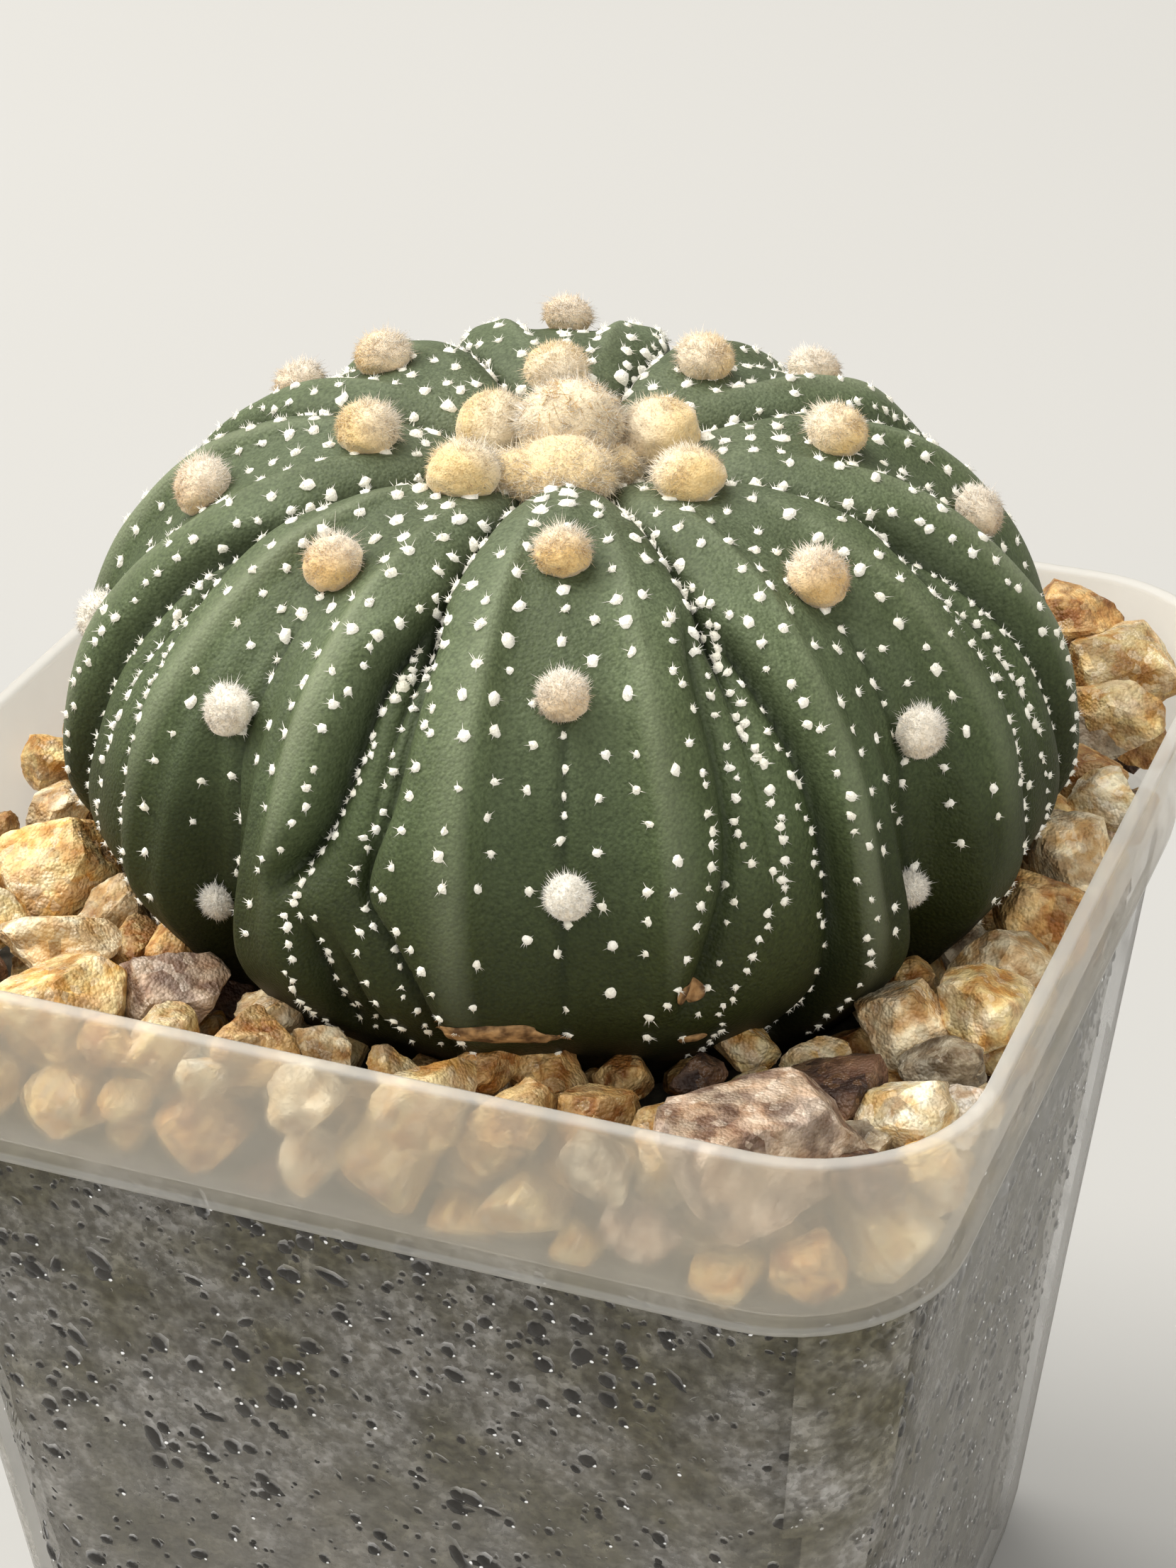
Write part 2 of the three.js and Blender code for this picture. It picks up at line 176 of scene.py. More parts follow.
def paint(piece, name, values):
    """Stores one number for each point, which a material can read by name."""
    layer = piece.data.attributes.new(name, "FLOAT", "POINT")
    layer.data.foreach_set("value", np.asarray(values, np.float32))


def loft_faces(rows, columns):
    """Faces between rows of points that each close on themselves."""
    row, column = np.mgrid[0:rows - 1, 0:columns]
    beside = (column + 1) % columns
    corners = [row * columns + column, row * columns + beside,
               (row + 1) * columns + beside, (row + 1) * columns + column]
    return np.stack(corners, axis=-1).reshape(-1, 4)


print("mesh helpers ready")

# %% Closed ends, templates and their copies
def close_ends(piece):
    """Fills the open rims of a piece and turns all its faces outwards."""
    shape = bmesh.new()
    shape.from_mesh(piece.data)
    bmesh.ops.holes_fill(shape, edges=[edge for edge in shape.edges if edge.is_boundary])
    bmesh.ops.recalc_face_normals(shape, faces=shape.faces)
    shape.to_mesh(piece.data)
    shape.free()
    print(piece.name, "closed:", len(piece.data.polygons), "faces")


def ball_template(cuts):
    """Points and triangles of a unit ball made from an icosahedron."""
    mesh = bpy.data.meshes.new("ball")
    shape = bmesh.new()
    bmesh.ops.create_icosphere(shape, subdivisions=cuts, radius=1)
    shape.to_mesh(mesh)
    shape.free()
    points = np.array([vertex.co for vertex in mesh.vertices])
    faces = np.array([polygon.vertices for polygon in mesh.polygons])
    bpy.data.meshes.remove(mesh)
    return points, faces


def copies(points, faces, count):
    """The faces of count copies of one template, numbered on from each other."""
    shift = np.arange(count)[:, None, None] * len(points)
    return (np.asarray(faces)[None] + shift).reshape(-1, np.shape(faces)[1])


print("a ball of two cuts has", len(ball_template(2)[1]), "faces")

# %% [markdown]
# ## Shader node groups
# Three effects turn up in nearly every material here: a colour that wanders between two tones,
# fine grains with specks, and a number stored on the mesh. Each could be rebuilt by hand in each
# material, but a group keeps it in one place, with its values set where it is used.

# %% Groups and nodes
def new_group(name, inputs, outputs):
    """An empty shader node group; inputs maps a name to (socket kind, value)."""
    group = bpy.data.node_groups.new(name, "ShaderNodeTree")
    for label, (kind, value) in inputs.items():
        socket = group.interface.new_socket(label, in_out="INPUT", socket_type="NodeSocket" + kind)
        socket.default_value = value
    for label, kind in outputs.items():
        group.interface.new_socket(label, in_out="OUTPUT", socket_type="NodeSocket" + kind)
    return group, group.nodes.new("NodeGroupInput"), group.nodes.new("NodeGroupOutput")


def put(tree, kind, values=None, **settings):
    """Adds a node; values go to its input sockets by name or number, links included."""
    made = tree.nodes.new("ShaderNode" + kind)
    for name, value in settings.items():
        setattr(made, name, value)
    for socket, value in (values or {}).items():
        if isinstance(value, bpy.types.NodeSocket):
            tree.links.new(value, made.inputs[socket])
        else:
            made.inputs[socket].default_value = value
    return made


print("node helpers ready")

# %% Sums and colours in nodes
def maths(tree, operation, *values, clamp=False):
    """The result of one Math node; each value is a number or a link."""
    return put(tree, "Math", dict(enumerate(values)), operation=operation, use_clamp=clamp).outputs[0]


def remap(tree, value, low, high, start=0.0, end=1.0):
    """Runs from low to high while value runs from start to end, and stays level beyond."""
    return put(tree, "MapRange", {"Value": value, "From Min": start, "From Max": end,
                                  "To Min": low, "To Max": high}).outputs[0]


def mix(tree, factor, first, second, blend="MIX"):
    """A colour mix; its sockets 0, 6 and 7 are the factor and the two colours."""
    made = put(tree, "Mix", {0: factor, 6: first, 7: second}, data_type="RGBA", blend_type=blend)
    return made.outputs[2]


def colour(code):
    """A linear colour from a web colour code."""
    parts = [int(code[i:i + 2], 16) / 255 for i in (0, 2, 4)]
    return tuple(p / 12.92 if p < 0.04045 else ((p + 0.055) / 1.055) ** 2.4 for p in parts) + (1,)


print("pale straw is", [round(part, 2) for part in colour("F0D194")])

# %% Mottle and grain groups
def noise_place(tree, given):
    """Where a texture is read, and the scale that gives it lumps of Size millimetres."""
    place = put(tree, "TexCoord").outputs["Object"]
    return {"Vector": place, "Scale": maths(tree, "DIVIDE", 1 / MM, given.outputs["Size"])}


mottle, given, out = new_group(
    "mottle", {"Size": ("Float", 5.0), "First": ("Color", (1, 1, 1, 1)),
               "Second": ("Color", (0, 0, 0, 1)), "Spread": ("Float", 0.3)}, {"Color": "Color"})
cloud = put(mottle, "TexNoise", {**noise_place(mottle, given), "Detail": 3.0}).outputs[0]
low, high = (maths(mottle, way, 0.5, given.outputs["Spread"]) for way in ("SUBTRACT", "ADD"))
share = remap(mottle, cloud, 0.0, 1.0, low, high)
mixed = mix(mottle, share, given.outputs["First"], given.outputs["Second"])
mottle.links.new(mixed, out.inputs["Color"])

grain, given, out = new_group(
    "grain", {"Size": ("Float", 0.3), "Share": ("Float", 0.3)},
    {"Height": "Float", "Specks": "Float", "Cells": "Color"})
where = noise_place(grain, given)
cells = put(grain, "TexVoronoi", where)
fine = put(grain, "TexNoise", {**where, "Detail": 4.0}).outputs[0]
split = put(grain, "SeparateColor", {0: cells.outputs["Color"]}).outputs[0]
for value, name in ((maths(grain, "SUBTRACT", fine, cells.outputs["Distance"]), "Height"),
                    (maths(grain, "LESS_THAN", split, given.outputs["Share"]), "Specks"),
                    (cells.outputs["Color"], "Cells")):
    grain.links.new(value, out.inputs[name])
print("groups:", [group.name for group in bpy.data.node_groups])

# %% Material helpers
def new_material(name, **constants):
    """A material with one Principled shader, whose constants are set on its own sockets."""
    material = bpy.data.materials.new(name)
    material.use_nodes = True
    shader = material.node_tree.nodes["Principled BSDF"]
    for socket, value in constants.items():
        shader.inputs[socket.replace("_", " ")].default_value = value
    return material, material.node_tree, shader


def use_group(tree, group, **values):
    return put(tree, "Group", values, node_tree=group).outputs


def two_tone(tree, size, first, second, spread):
    """A colour that wanders between two web colours in patches of size millimetres."""
    return use_group(tree, mottle, Size=size, First=colour(first), Second=colour(second),
                     Spread=spread)["Color"]


def stored(tree, name):
    """The number that paint stored on the mesh under this name."""
    return put(tree, "Attribute", attribute_name=name).outputs["Fac"]


def ramp(tree, factor, stops):
    """A colour ramp through (position, web colour or grey level) stops."""
    made = put(tree, "ValToRGB", {0: factor})
    while len(made.color_ramp.elements) < len(stops):
        made.color_ramp.elements.new(0.5)
    for element, (position, tone) in zip(made.color_ramp.elements, stops):
        element.position = position
        element.color = colour(tone) if isinstance(tone, str) else (tone,) * 4
    return made.outputs[0]


def feed(tree, shader, **sockets):
    """Links sockets to the shader's inputs of these names."""
    for name, socket in sockets.items():
        tree.links.new(socket, shader.inputs[name.replace("_", " ")])


def bump(tree, shader, height, strength, depth=0.1):
    """Bumps of height, depth millimetres deep."""
    made = put(tree, "Bump", {"Height": height, "Strength": strength, "Distance": depth * MM})
    feed(tree, shader, Normal=made.outputs[0])


print("material helpers ready")

# %% [markdown]
# ## The cactus skin
# The plant is a low dome of eight broad ribs. Near the crown the furrows between them are sharp
# cuts; lower down each furrow opens into two folds with a flat strip between, the mark of this
# form, and the ribs hang over the strip like curtain pleats. It could be sculpted, but a dome
# whose radius drops by a sum of simple curves keeps every fold where the photograph shows it.
# An azimuth is measured round the plant from the front, and theta from the crown down.

# %% The plant's measures
PLANT_BASE = np.array([0.6, 2.5, 71.4])
LEAN = math.radians(1.2)
RIBS = np.array([20.7, 65.3, 113, 159, 203, 247, 291.5, 338])
RIB_SIZES = [1.04, 0.99, 0.98, 0.98, 1.0, 0.99, 0.985, 0.995]
PITCH = 45.0
OUTLINE = [(0, 21.3), (15, 25.2), (30, 29.2), (45, 32.4), (60, 33.8), (72, 33.7), (82, 33),
           (90, 30), (98, 27), (110, 23.9), (132, 20.6), (150, 21.5), (168, 26), (180, 30)]
FURROW = [(0, 0.2), (8, 0.5), (15, 1.0), (30, 1.5), (42, 1.8), (52, 1.0), (62, 0.4), (75, 0)]
ARCH = [(0, 0.1), (15, 0.45), (30, 0.65), (50, 0.8), (75, 0.7), (100, 0.5)]
CREST = [(30, 0), (45, 0.3), (60, 0.6), (75, 0.9), (92, 1.0), (104, 0)]
SPLIT_CREST = [(34, 0), (50, 0.5), (62, 1.2), (72, 2.7), (92, 3.4), (106, 0)]
SPLIT_RIBS = (1, 7)
CREST_REACH = 9.0
SPLIT_REACH = 4.0
CHANNEL = [(24, 0), (36, 0.6), (60, 1.0), (74, 0.7), (86, 0)]
RIDGE = [(22, 0), (36, 0.3), (58, 0.5), (74, 0.35), (88, 0)]
print("ribs stand at", RIBS.tolist())

# %% Folds beside the furrows
def fold(side, depth, *path):
    """side is -1 on the left of a furrow and 1 on its right; path is (theta, degrees across)."""
    return {"side": side, "depth": depth, "path": path}


USUAL = [fold(-1, 1.5, (40, -1), (48, -3.6), (60, -5.2), (72, -6.6), (96, -8.5)),
         fold(1, 1.6, (40, 1), (48, 3.2), (60, 5.6), (72, 7.6), (96, 9.5))]
FOLDS = [USUAL] * len(RIBS)
FOLDS[0] = [
    fold(-1, 1.2, (41, -3.2), (49, -4.6), (60, -4.5), (68, -5.2), (76, -8), (82, -10.5)),
    fold(1, 1.9, (42, 1.5), (50, 4), (59, 6.4), (68, 7.3), (77, 7.2), (97, 6)),
]
FOLDS[7] = [
    fold(-1, 2.3, (41, -0.9), (49, -4.1), (60, -5), (66, -6.4), (72, -10)),
    fold(1, 1.1, (41, 1), (52, 2.4), (62, 2.2), (71, 0.1), (76, 4), (81, 7), (90, 10)),
    fold(-1, 1.7, (75, -7.2), (81, -5.3), (90, -4)),
    fold(1, 0.9, (76, -3.2), (81, -1.2), (90, 1.5)),
]
STRIP_ROWS = [[(40, 0), (96, 0.5)]] * len(RIBS)
STRIP_ROWS[0] = [(43.5, 1.3), (52, 1), (60, 1.1), (64, 1.4), (68, 0.8), (72, 0.1), (74, -1.3),
                 (78, -3.6), (82, -6.3)]
STRIP_ROWS[7] = [(42, -0.5), (46, -1.8), (53, -2), (59.5, -3.6), (64, -4.9), (68, -6.1),
                 (71.5, -7.7)]
print("folds:", sum(len(folds) for folds in FOLDS))

# %% How deep the skin lies
def furrow_drop(fold_here, across, theta, scale):
    """How deep one fold cuts, steep outside and gentle inside, and how much painted shade its crease
    gets.
    """
    path = fold_here["path"]
    strength = (smooth_step(path[0][0] - 2, path[0][0] + 6, theta)
                * (1 - smooth_step(path[-1][0] - 3, path[-1][0] + 3, theta)))
    past = (across - curve_through(path, theta)) * fold_here["side"] * scale
    wall = np.exp(-np.abs(past) / np.where(past > 0, 0.42, 1.5))
    shoulder = 0.16 * np.exp(-((past - 1.7) / 1.1) ** 2)
    crease = 0.3 * np.exp(-(past / 0.4) ** 2)
    # Painted shade along the fold's crease.
    dark = min(fold_here["depth"] / 1.8, 1) * np.exp(-np.abs(past) / 0.5)
    return strength * np.array([fold_here["depth"] * (wall - shoulder) + crease, dark])


def skin_drop(cell, across, theta):
    """How far the skin lies inside the smooth outline, and how much painted shade it gets there, a
    painted highlight where the value is negative.
    """
    scale = curve_through(OUTLINE, theta) * np.sin(np.radians(theta)) * math.pi / 180
    near = 1 - np.abs(across) / (PITCH / 2)
    from_crest = PITCH / 2 - np.abs(across)
    furrow = curve_through(FURROW, theta) * np.exp(-np.abs(across) * scale / 0.55)
    folds, dark = sum(furrow_drop(one, across, theta, scale) for one in FOLDS[cell])
    arch = curve_through(ARCH, theta) * near * near
    split = [rib % len(RIBS) in SPLIT_RIBS for rib in (cell, cell + 1)]
    deep = np.where(across < 0, *(curve_through(SPLIT_CREST if cleft else CREST, theta)
                                  for cleft in split))
    edge = np.where(across < 0, *(SPLIT_REACH if cleft else CREST_REACH for cleft in split))
    crest = deep * (1 - smooth_step(2.5, 2.5 + edge, from_crest))
    channel = curve_through(CHANNEL, theta) * (1 - smooth_step(7.5, 11.5, from_crest))
    line = 0.36 * np.exp(-((from_crest * scale) / 0.35) ** 2) * smooth_step(42, 52, theta)
    wander = 10.2 + 1.2 * np.sin(theta / 9 + 2 * cell) + 0.8 * np.sign(across)
    uneven = 0.75 + 0.35 * np.sin(theta / 13 + 1.7 * cell + np.sign(across))
    ridge = curve_through(RIDGE, theta) * uneven * np.exp(-((from_crest - wander) / 3.0) ** 2)
    buried = 1 - smooth_step(96, 112, theta)
    # The painted shading: painted shade in furrows, folds, the crest line and the channel, less of it
    # and a painted highlight on the ridges.
    painted_shading = (np.clip((furrow + 0.35 * folds) / 1.7, 0, 1) ** 1.7 + 0.8 * np.clip(dark, 0, 1)
              + 1.1 * line + 0.36 * channel - 0.7 * ridge)
    return (arch + furrow + folds + crest + channel + line - ridge) * buried, painted_shading * buried


print("drop in the front furrow at 60 degrees:", round(float(skin_drop(0, 0.0, 60.0)[0]), 2))

# %% From numbers to a place on the skin
RIPPLE = (0.26, 3.4)
SWELL = (0.22, 8.0)


def skin_points(cell, across, theta, out=0.0):
    """Places on the skin beside furrow number cell, in the plant's own frame."""
    across, theta = np.broadcast_arrays(np.asarray(across, float), np.asarray(theta, float))
    start = RIBS[cell]
    end = RIBS[(cell + 1) % len(RIBS)] + (360 if cell == len(RIBS) - 1 else 0)
    azimuth = np.radians(start + (end - start) * (0.5 + across / PITCH))
    drop, painted_shading = skin_drop(cell, across, theta)
    polar = np.radians(theta)
    way = np.stack([np.sin(polar) * np.sin(azimuth), -np.sin(polar) * np.cos(azimuth),
                    np.cos(polar)], axis=-1)
    share = 0.5 + across / PITCH
    size = RIB_SIZES[cell] * (1 - share) + RIB_SIZES[(cell + 1) % len(RIBS)] * share
    size = 1 + (size - 1) * (1 - smooth_step(86, 98, theta))
    radius = curve_through(OUTLINE, theta) * size - drop
    ways = way.reshape(-1, 3)
    ripple = RIPPLE[0] * soft_noise(ways * np.array([30, 30, 12]), RIPPLE[1], 5)
    swell = SWELL[0] * soft_noise(ways * 30, SWELL[1], 6)
    sway = (ripple + swell).reshape(radius.shape) * smooth_step(8, 30, theta)
    return way * (radius + sway + out)[..., None], painted_shading


def stand(points):
    """Moves points from the plant's own frame, which leans a little, into the pot's."""
    return np.asarray(points) @ spun((LEAN, "X"), (LEAN, "Y")).T + PLANT_BASE


print("crown lies at", stand(skin_points(0, 0.0, 0.1)[0][None])[0].round(1))

# %% The skin mesh
half_across = PITCH / 2 * np.linspace(0, 1, 38) ** 1.25
ACROSS = np.concatenate([-half_across[:0:-1], half_across[:-1]])
THETAS = np.concatenate([[0.6, 1.4], np.linspace(2.4, 102, 146), [106, 112, 122, 134, 150, 168, 178]])
rings, painted_shading_rings = [], []
for theta in THETAS[::-1]:
    parts = [skin_points(cell, ACROSS, theta) for cell in range(len(RIBS))]
    rings.append(np.concatenate([points for points, _ in parts]))
    painted_shading_rings.append(np.concatenate([painted_shading for _, painted_shading in parts]))
skin = new_piece("cactus_skin", stand(np.concatenate(rings)),
                 loft_faces(len(THETAS), len(rings[0])))
paint(skin, "painted_shading", np.concatenate(painted_shading_rings))
paint(skin, "theta", np.repeat(THETAS[::-1], len(rings[0])))

# %% [markdown]
# The grid is open at both ends. A fan of triangles could close each, but filling the two rims
# with one many-sided face is simpler, and nobody sees the one in the soil.

# %% Close the skin
close_ends(skin)

# %% [markdown]
# The skin is a matte olive green under a pale bloom. It is painted paler on the crown and darker
# downwards, partly for the bloom wearing off and partly as painted light from above, and the foot
# turns corky brown where it meets the stones. The furrows, folds and crest channels get painted
# shade and the ridges a painted highlight. Each of these could be a texture picture, but numbers
# stored on the mesh follow the folds.

# %% Skin material
skin_material, tree, shader = new_material("matte_green_skin", Specular_IOR_Level=0.25)
height = remap(tree, stored(tree, "theta"), 0.0, 1.0, 0.0, 100.0)
# Paler at the crown and darker downwards: partly the bloom wearing off and the corky foot, partly
# painted light from above.
bloom_and_painted_light = ramp(tree, height, [(0.0, "838A70"), (0.28, "6B765C"), (0.5, "727F5E"), (0.64, "616F4C"),
                                (0.75, "3D4520"), (0.86, "2C320F"), (0.97, "2A230E")])
patches = two_tone(tree, 6.0, "FFFFFF", "B2B594", 0.2)
fine = two_tone(tree, 0.24, "FAFAF4", "8C927F", 0.25)
toned = mix(tree, 0.8, mix(tree, 0.7, bloom_and_painted_light, patches, "MULTIPLY"), fine, "MULTIPLY")
painted_shading = stored(tree, "painted_shading")
# Painted shade: a dark green is mixed in where the stored shading is high.
depth = maths(tree, "MULTIPLY", painted_shading, 0.85, clamp=True)
# Painted highlight: a pale green is mixed in where the stored shading is negative, on the ridges.
swell = maths(tree, "MULTIPLY", painted_shading, -1.0, clamp=True)
shaded = mix(tree, swell, mix(tree, depth, toned, colour("1A2311")), colour("A5AC8E"))
grains = use_group(tree, grain, Size=0.22, Share=0.3)["Height"]
feed(tree, shader, Base_Color=shaded, Roughness=remap(tree, grains, 0.62, 0.5))
bump(tree, shader, grains, 0.5)
skin.data.materials.append(skin_material)
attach(skin, "root")
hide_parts("cactus")
print("material:", skin_material.name)

# %% [markdown]
# ## White flecks
# Every fleck is a tiny tuft of hairy scales, half a millimetre to a millimetre wide. They stand
# in rows: down each furrow, along its folds and strip, and in lines beside each crest. Scattering
# them at random would lose those rows, so each row is walked at a given spacing, and a fleck that
# would crowd an earlier one is left out.

# %% Frames on the skin
def skin_frames(cell, across, theta):
    """Places on the skin with the ways along it, up it and out of it, all in the pot's frame."""
    middle = stand(skin_points(cell, across, theta)[0])
    beside = stand(skin_points(cell, across + 0.4, theta)[0]) - middle
    above = stand(skin_points(cell, across, theta - 0.5)[0]) - middle
    out = unit(np.cross(beside, above))
    along = unit(beside)
    return middle, along, np.cross(out, along), out


corners = skin_frames(0, np.array([0.0]), np.array([60.0]))
print("the skin faces", corners[3][0].round(2), "in the front furrow")

# %% Rows of flecks
def walk_row(cell, path, start, end, spacing):
    """Theta and across values down a row; path gives the degrees across for each theta."""
    theta = start + random.random() * 1.5
    spots = []
    while theta < end:
        side = float(curve_through(path, theta))
        step = spacing * (0.8 + 0.4 * random.random())
        spots.append((cell, side, theta))
        theta += math.degrees(step / float(curve_through(OUTLINE, theta)))
    return spots


random = np.random.default_rng(31)
# Each row is (least gap, width of a fleck, degrees across, first theta, last theta, spacing).
FURROW_ROWS = [(0.7, 0.75, [(0, 0), (90, 0)], 12, 41, 0.85),
               (0.7, 0.68, [(0, 2.2), (90, 1.2)], 16, 44, 1.6),
               (0.7, 0.68, [(0, -2.2), (90, -1.2)], 16, 44, 1.6)]
rows = []
for cell in range(len(RIBS)):
    for gap, width, *row in (*FURROW_ROWS, (0.45, 0.66, STRIP_ROWS[cell], 39, 95, 0.62)):
        rows.append((gap, width, walk_row(cell, *row)))
    for one in FOLDS[cell]:
        for degrees, width, spacing in ((2.6, 0.62, 1.2), (-1.6, 0.58, 0.95)):
            beside = [(theta, side + degrees * one["side"]) for theta, side in one["path"]]
            rows.append((0.65, width, walk_row(cell, beside, one["path"][0][0], one["path"][-1][0],
                                              spacing)))
# Each line beside a crest is (degrees from it, first theta, last theta, spacing, least gap).
LINES = [(0.0, 16, 94, 1.7, 1.1), (8.6, 12, 88, 1.9, 1.4), (12.6, 11, 86, 2.1, 1.4),
         (4.4, 20, 80, 2.6, 1.6), (16.4, 14, 84, 2.2, 1.5), (19.4, 12, 66, 1.9, 1.3)]
for rib in range(len(RIBS)):
    for side in (-1, 1):
        cell = rib if side > 0 else (rib - 1) % len(RIBS)
        for offset, start, end, spacing, gap in LINES:
            if offset or side > 0:
                path = [(0, side * (offset - PITCH / 2)), (90, side * (offset - PITCH / 2))]
                rows.append((gap, 0.72, walk_row(cell, path, start, end, spacing)))
print("rows of flecks:", len(rows))

# %% Thin out and place the flecks
spots, widths = [], []
taken = np.zeros((0, 3))
for gap, width, row in rows:
    for cell, side, theta in row:
        if gap > 1 and random.random() < (theta - 45) / 110:
            continue
        side += random.normal(0, 0.3 + 9 / max(theta, 10))
        theta += random.normal(0, 0.4)
        place = skin_points(cell, side, theta)[0]
        if len(taken) and np.min(np.linalg.norm(taken - place, axis=1)) < gap:
            continue
        taken = np.vstack([taken, place])
        spots.append((cell, side, theta))
        near_crown = 1.6 - 0.58 * min(theta / 55, 1) - 0.45 * max(theta / 60 - 1, 0)
        widths.append(width * near_crown * random.uniform(0.75, 1.3))
spots, widths = np.array(spots), np.array(widths)
print("flecks:", len(spots), "mean width", widths.mean().round(2))

# %% Put shapes on the skin
def frames_for(places):
    """Frames on the skin for rows of (furrow, across, theta)."""
    found = [np.zeros((len(places), 3)) for _ in range(4)]
    for cell in range(len(RIBS)):
        here = places[:, 0] == cell
        if here.any():
            for whole, part in zip(found, skin_frames(cell, places[here, 1], places[here, 2])):
                whole[here] = part
    return found


def set_on(frames, local):
    """Moves local points (one set for each frame) onto their places."""
    middle, along, above, out = (part[:, None] for part in frames)
    return middle + local[..., 0:1] * along + local[..., 1:2] * above + local[..., 2:3] * out


fleck_frames = frames_for(spots)
print("frames for flecks:", len(fleck_frames[0]))

# %% Fleck bodies
def knob(sides, low, neck, neck_height, twist, top):
    """Points and triangles of a low knob: a rim, a narrower ring over it, and a tip."""
    turn = np.arange(sides) / sides * 2 * math.pi
    points = np.concatenate([
        np.stack([np.cos(turn), np.sin(turn), np.full(sides, low)], axis=1),
        np.stack([neck * np.cos(turn + twist), neck * np.sin(turn + twist),
                  np.full(sides, neck_height)], axis=1), [[0, 0, top]]])
    ring = np.arange(sides)
    after = (ring + 1) % sides
    upper, upper_after, tip = ring + sides, after + sides, np.full(sides, 2 * sides)
    return points, np.concatenate([np.stack(corners, axis=1) for corners in (
        (ring, after, upper), (after, upper_after, upper), (upper, upper_after, tip))])


button, button_faces = knob(6, -0.25, 0.78, 0.3, 0.5, 0.52)
uneven = random.uniform(0.62, 1.35, (len(spots), len(button), 1))
lumps = button[None] * (0.45 * widths)[:, None, None] * uneven
lumps[..., 1] *= random.uniform(0.8, 1.2, (len(spots), 1))
print("points in a fleck's body:", len(button))

# %% Hairs on the flecks
def hair_points(frames, root, lean, length, width, bend=0.0):
    """Thin three-sided hairs; root is each hair's foot and lean its way, both in local axes."""
    lean = unit(lean)
    across = unit(np.cross(lean, [0.31, 0.52, 0.8]))
    third = np.cross(lean, across)
    angles = np.arange(3) * 2 * math.pi / 3
    foot = root[:, None] + width[:, None, None] * (across[:, None] * np.cos(angles)[:, None]
                                                   + third[:, None] * np.sin(angles)[:, None])
    tip = root + lean * length[:, None] + np.array([0, 0, -bend]) * length[:, None]
    return set_on(frames, np.concatenate([foot, tip[:, None]], axis=1)).reshape(-1, 3)


HAIR_FACES = np.array([(0, 1, 3), (1, 2, 3), (2, 0, 3)])


def hairy_piece(name, bodies, body_faces, hairs):
    """One piece from closed bodies and the hairs that stand on them."""
    hair_faces = copies(hairs[:4], HAIR_FACES, len(hairs) // 4) + len(bodies)
    return new_piece(name, np.concatenate([bodies, hairs]), np.concatenate([body_faces, hair_faces]))


HAIRS_EACH = 8
which = np.repeat(np.arange(len(spots)), HAIRS_EACH)
lean = random.normal(0, 1.0, (len(which), 3))
lean[:, 2] = np.abs(lean[:, 2]) * 0.8 + 0.25
roots = np.concatenate([lean[:, :2] * 0.12 * widths[which, None], np.full((len(which), 1), 0.05)],
                       axis=1)
hairs = hair_points([part[which] for part in fleck_frames], roots, lean,
                    random.uniform(0.35, 0.72, len(which)) * widths[which],
                    random.uniform(0.028, 0.05, len(which)))
flecks = hairy_piece("white_flecks", set_on(fleck_frames, lumps).reshape(-1, 3),
                     copies(button, button_faces, len(spots)), hairs)

# %% Fleck material
fleck_material, tree, shader = new_material("hairy_scale", Roughness=0.85, Sheen_Weight=0.4,
                                            Specular_IOR_Level=0.2)
feed(tree, shader, Base_Color=two_tone(tree, 2.0, "FFFCF2", "EBE6D2", 0.25))
bump(tree, shader, use_group(tree, grain, Size=0.12)["Height"], 0.4)
flecks.data.materials.append(fleck_material)
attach(flecks, "root")
print("material:", fleck_material.name)

# %% [markdown]
# ## Old scars
# Where the foot once rubbed on grit, the skin healed with a lens of tan cork. Each scar is a
# flattened ball laid on the skin, dented by noise, so that its rim breaks unevenly.

# %% Corky scars
# Each scar is (furrow, degrees across, theta, half its length, half its height).
SCARS = [(7, 15, 84.3, 4.2, 0.75), (0, -9.75, 80, 0.95, 0.75), (0, -9, 86.5, 0.9, 0.4)]
ball, ball_faces = ball_template(4)
parts = []
for number, (cell, across, theta, half_long, half_high) in enumerate(SCARS):
    rough, sag = (0.3, 1.2) if half_long > 2 else (0.12, 0)
    sheet = ball * np.array([half_long, half_high, 1])
    sheet *= (1 + rough * soft_noise(sheet, 0.7, number + 3))[:, None]
    scale = float(curve_through(OUTLINE, theta)) * math.pi / 180
    side = across + sheet[:, 0] / scale
    below = theta - sheet[:, 1] / scale + sag * (sheet[:, 0] / half_long) ** 2
    lift = 0.3 * ball[:, 2] + 0.1 * soft_noise(sheet, 0.4, number)
    parts.append(stand(skin_points(cell, side, below, lift)[0]))
scars = new_piece("corky_scars", np.concatenate(parts), copies(ball, ball_faces, len(SCARS)))
cork_material, tree, shader = new_material("healed_cork", Roughness=0.7, Specular_IOR_Level=0.3)
feed(tree, shader, Base_Color=two_tone(tree, 0.9, "B08A5C", "5A4026", 0.12))
bump(tree, shader, use_group(tree, grain, Size=0.3)["Height"], 0.6)
scars.data.materials.append(cork_material)
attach(scars, "root")
print("scars:", len(SCARS))

# %% [markdown]
# ## Balls of wool
# On each crest the plant carries no spines but round tufts of wool: straw yellow when they are
# young and near the crown, tan further down, and bleached white at the foot. A ball with a noisy
# surface gives each tuft its body, and hundreds of short thin hairs give it a soft edge. Blender
# has a hair system for that, but plain hairs stay real geometry that any other tool can read.

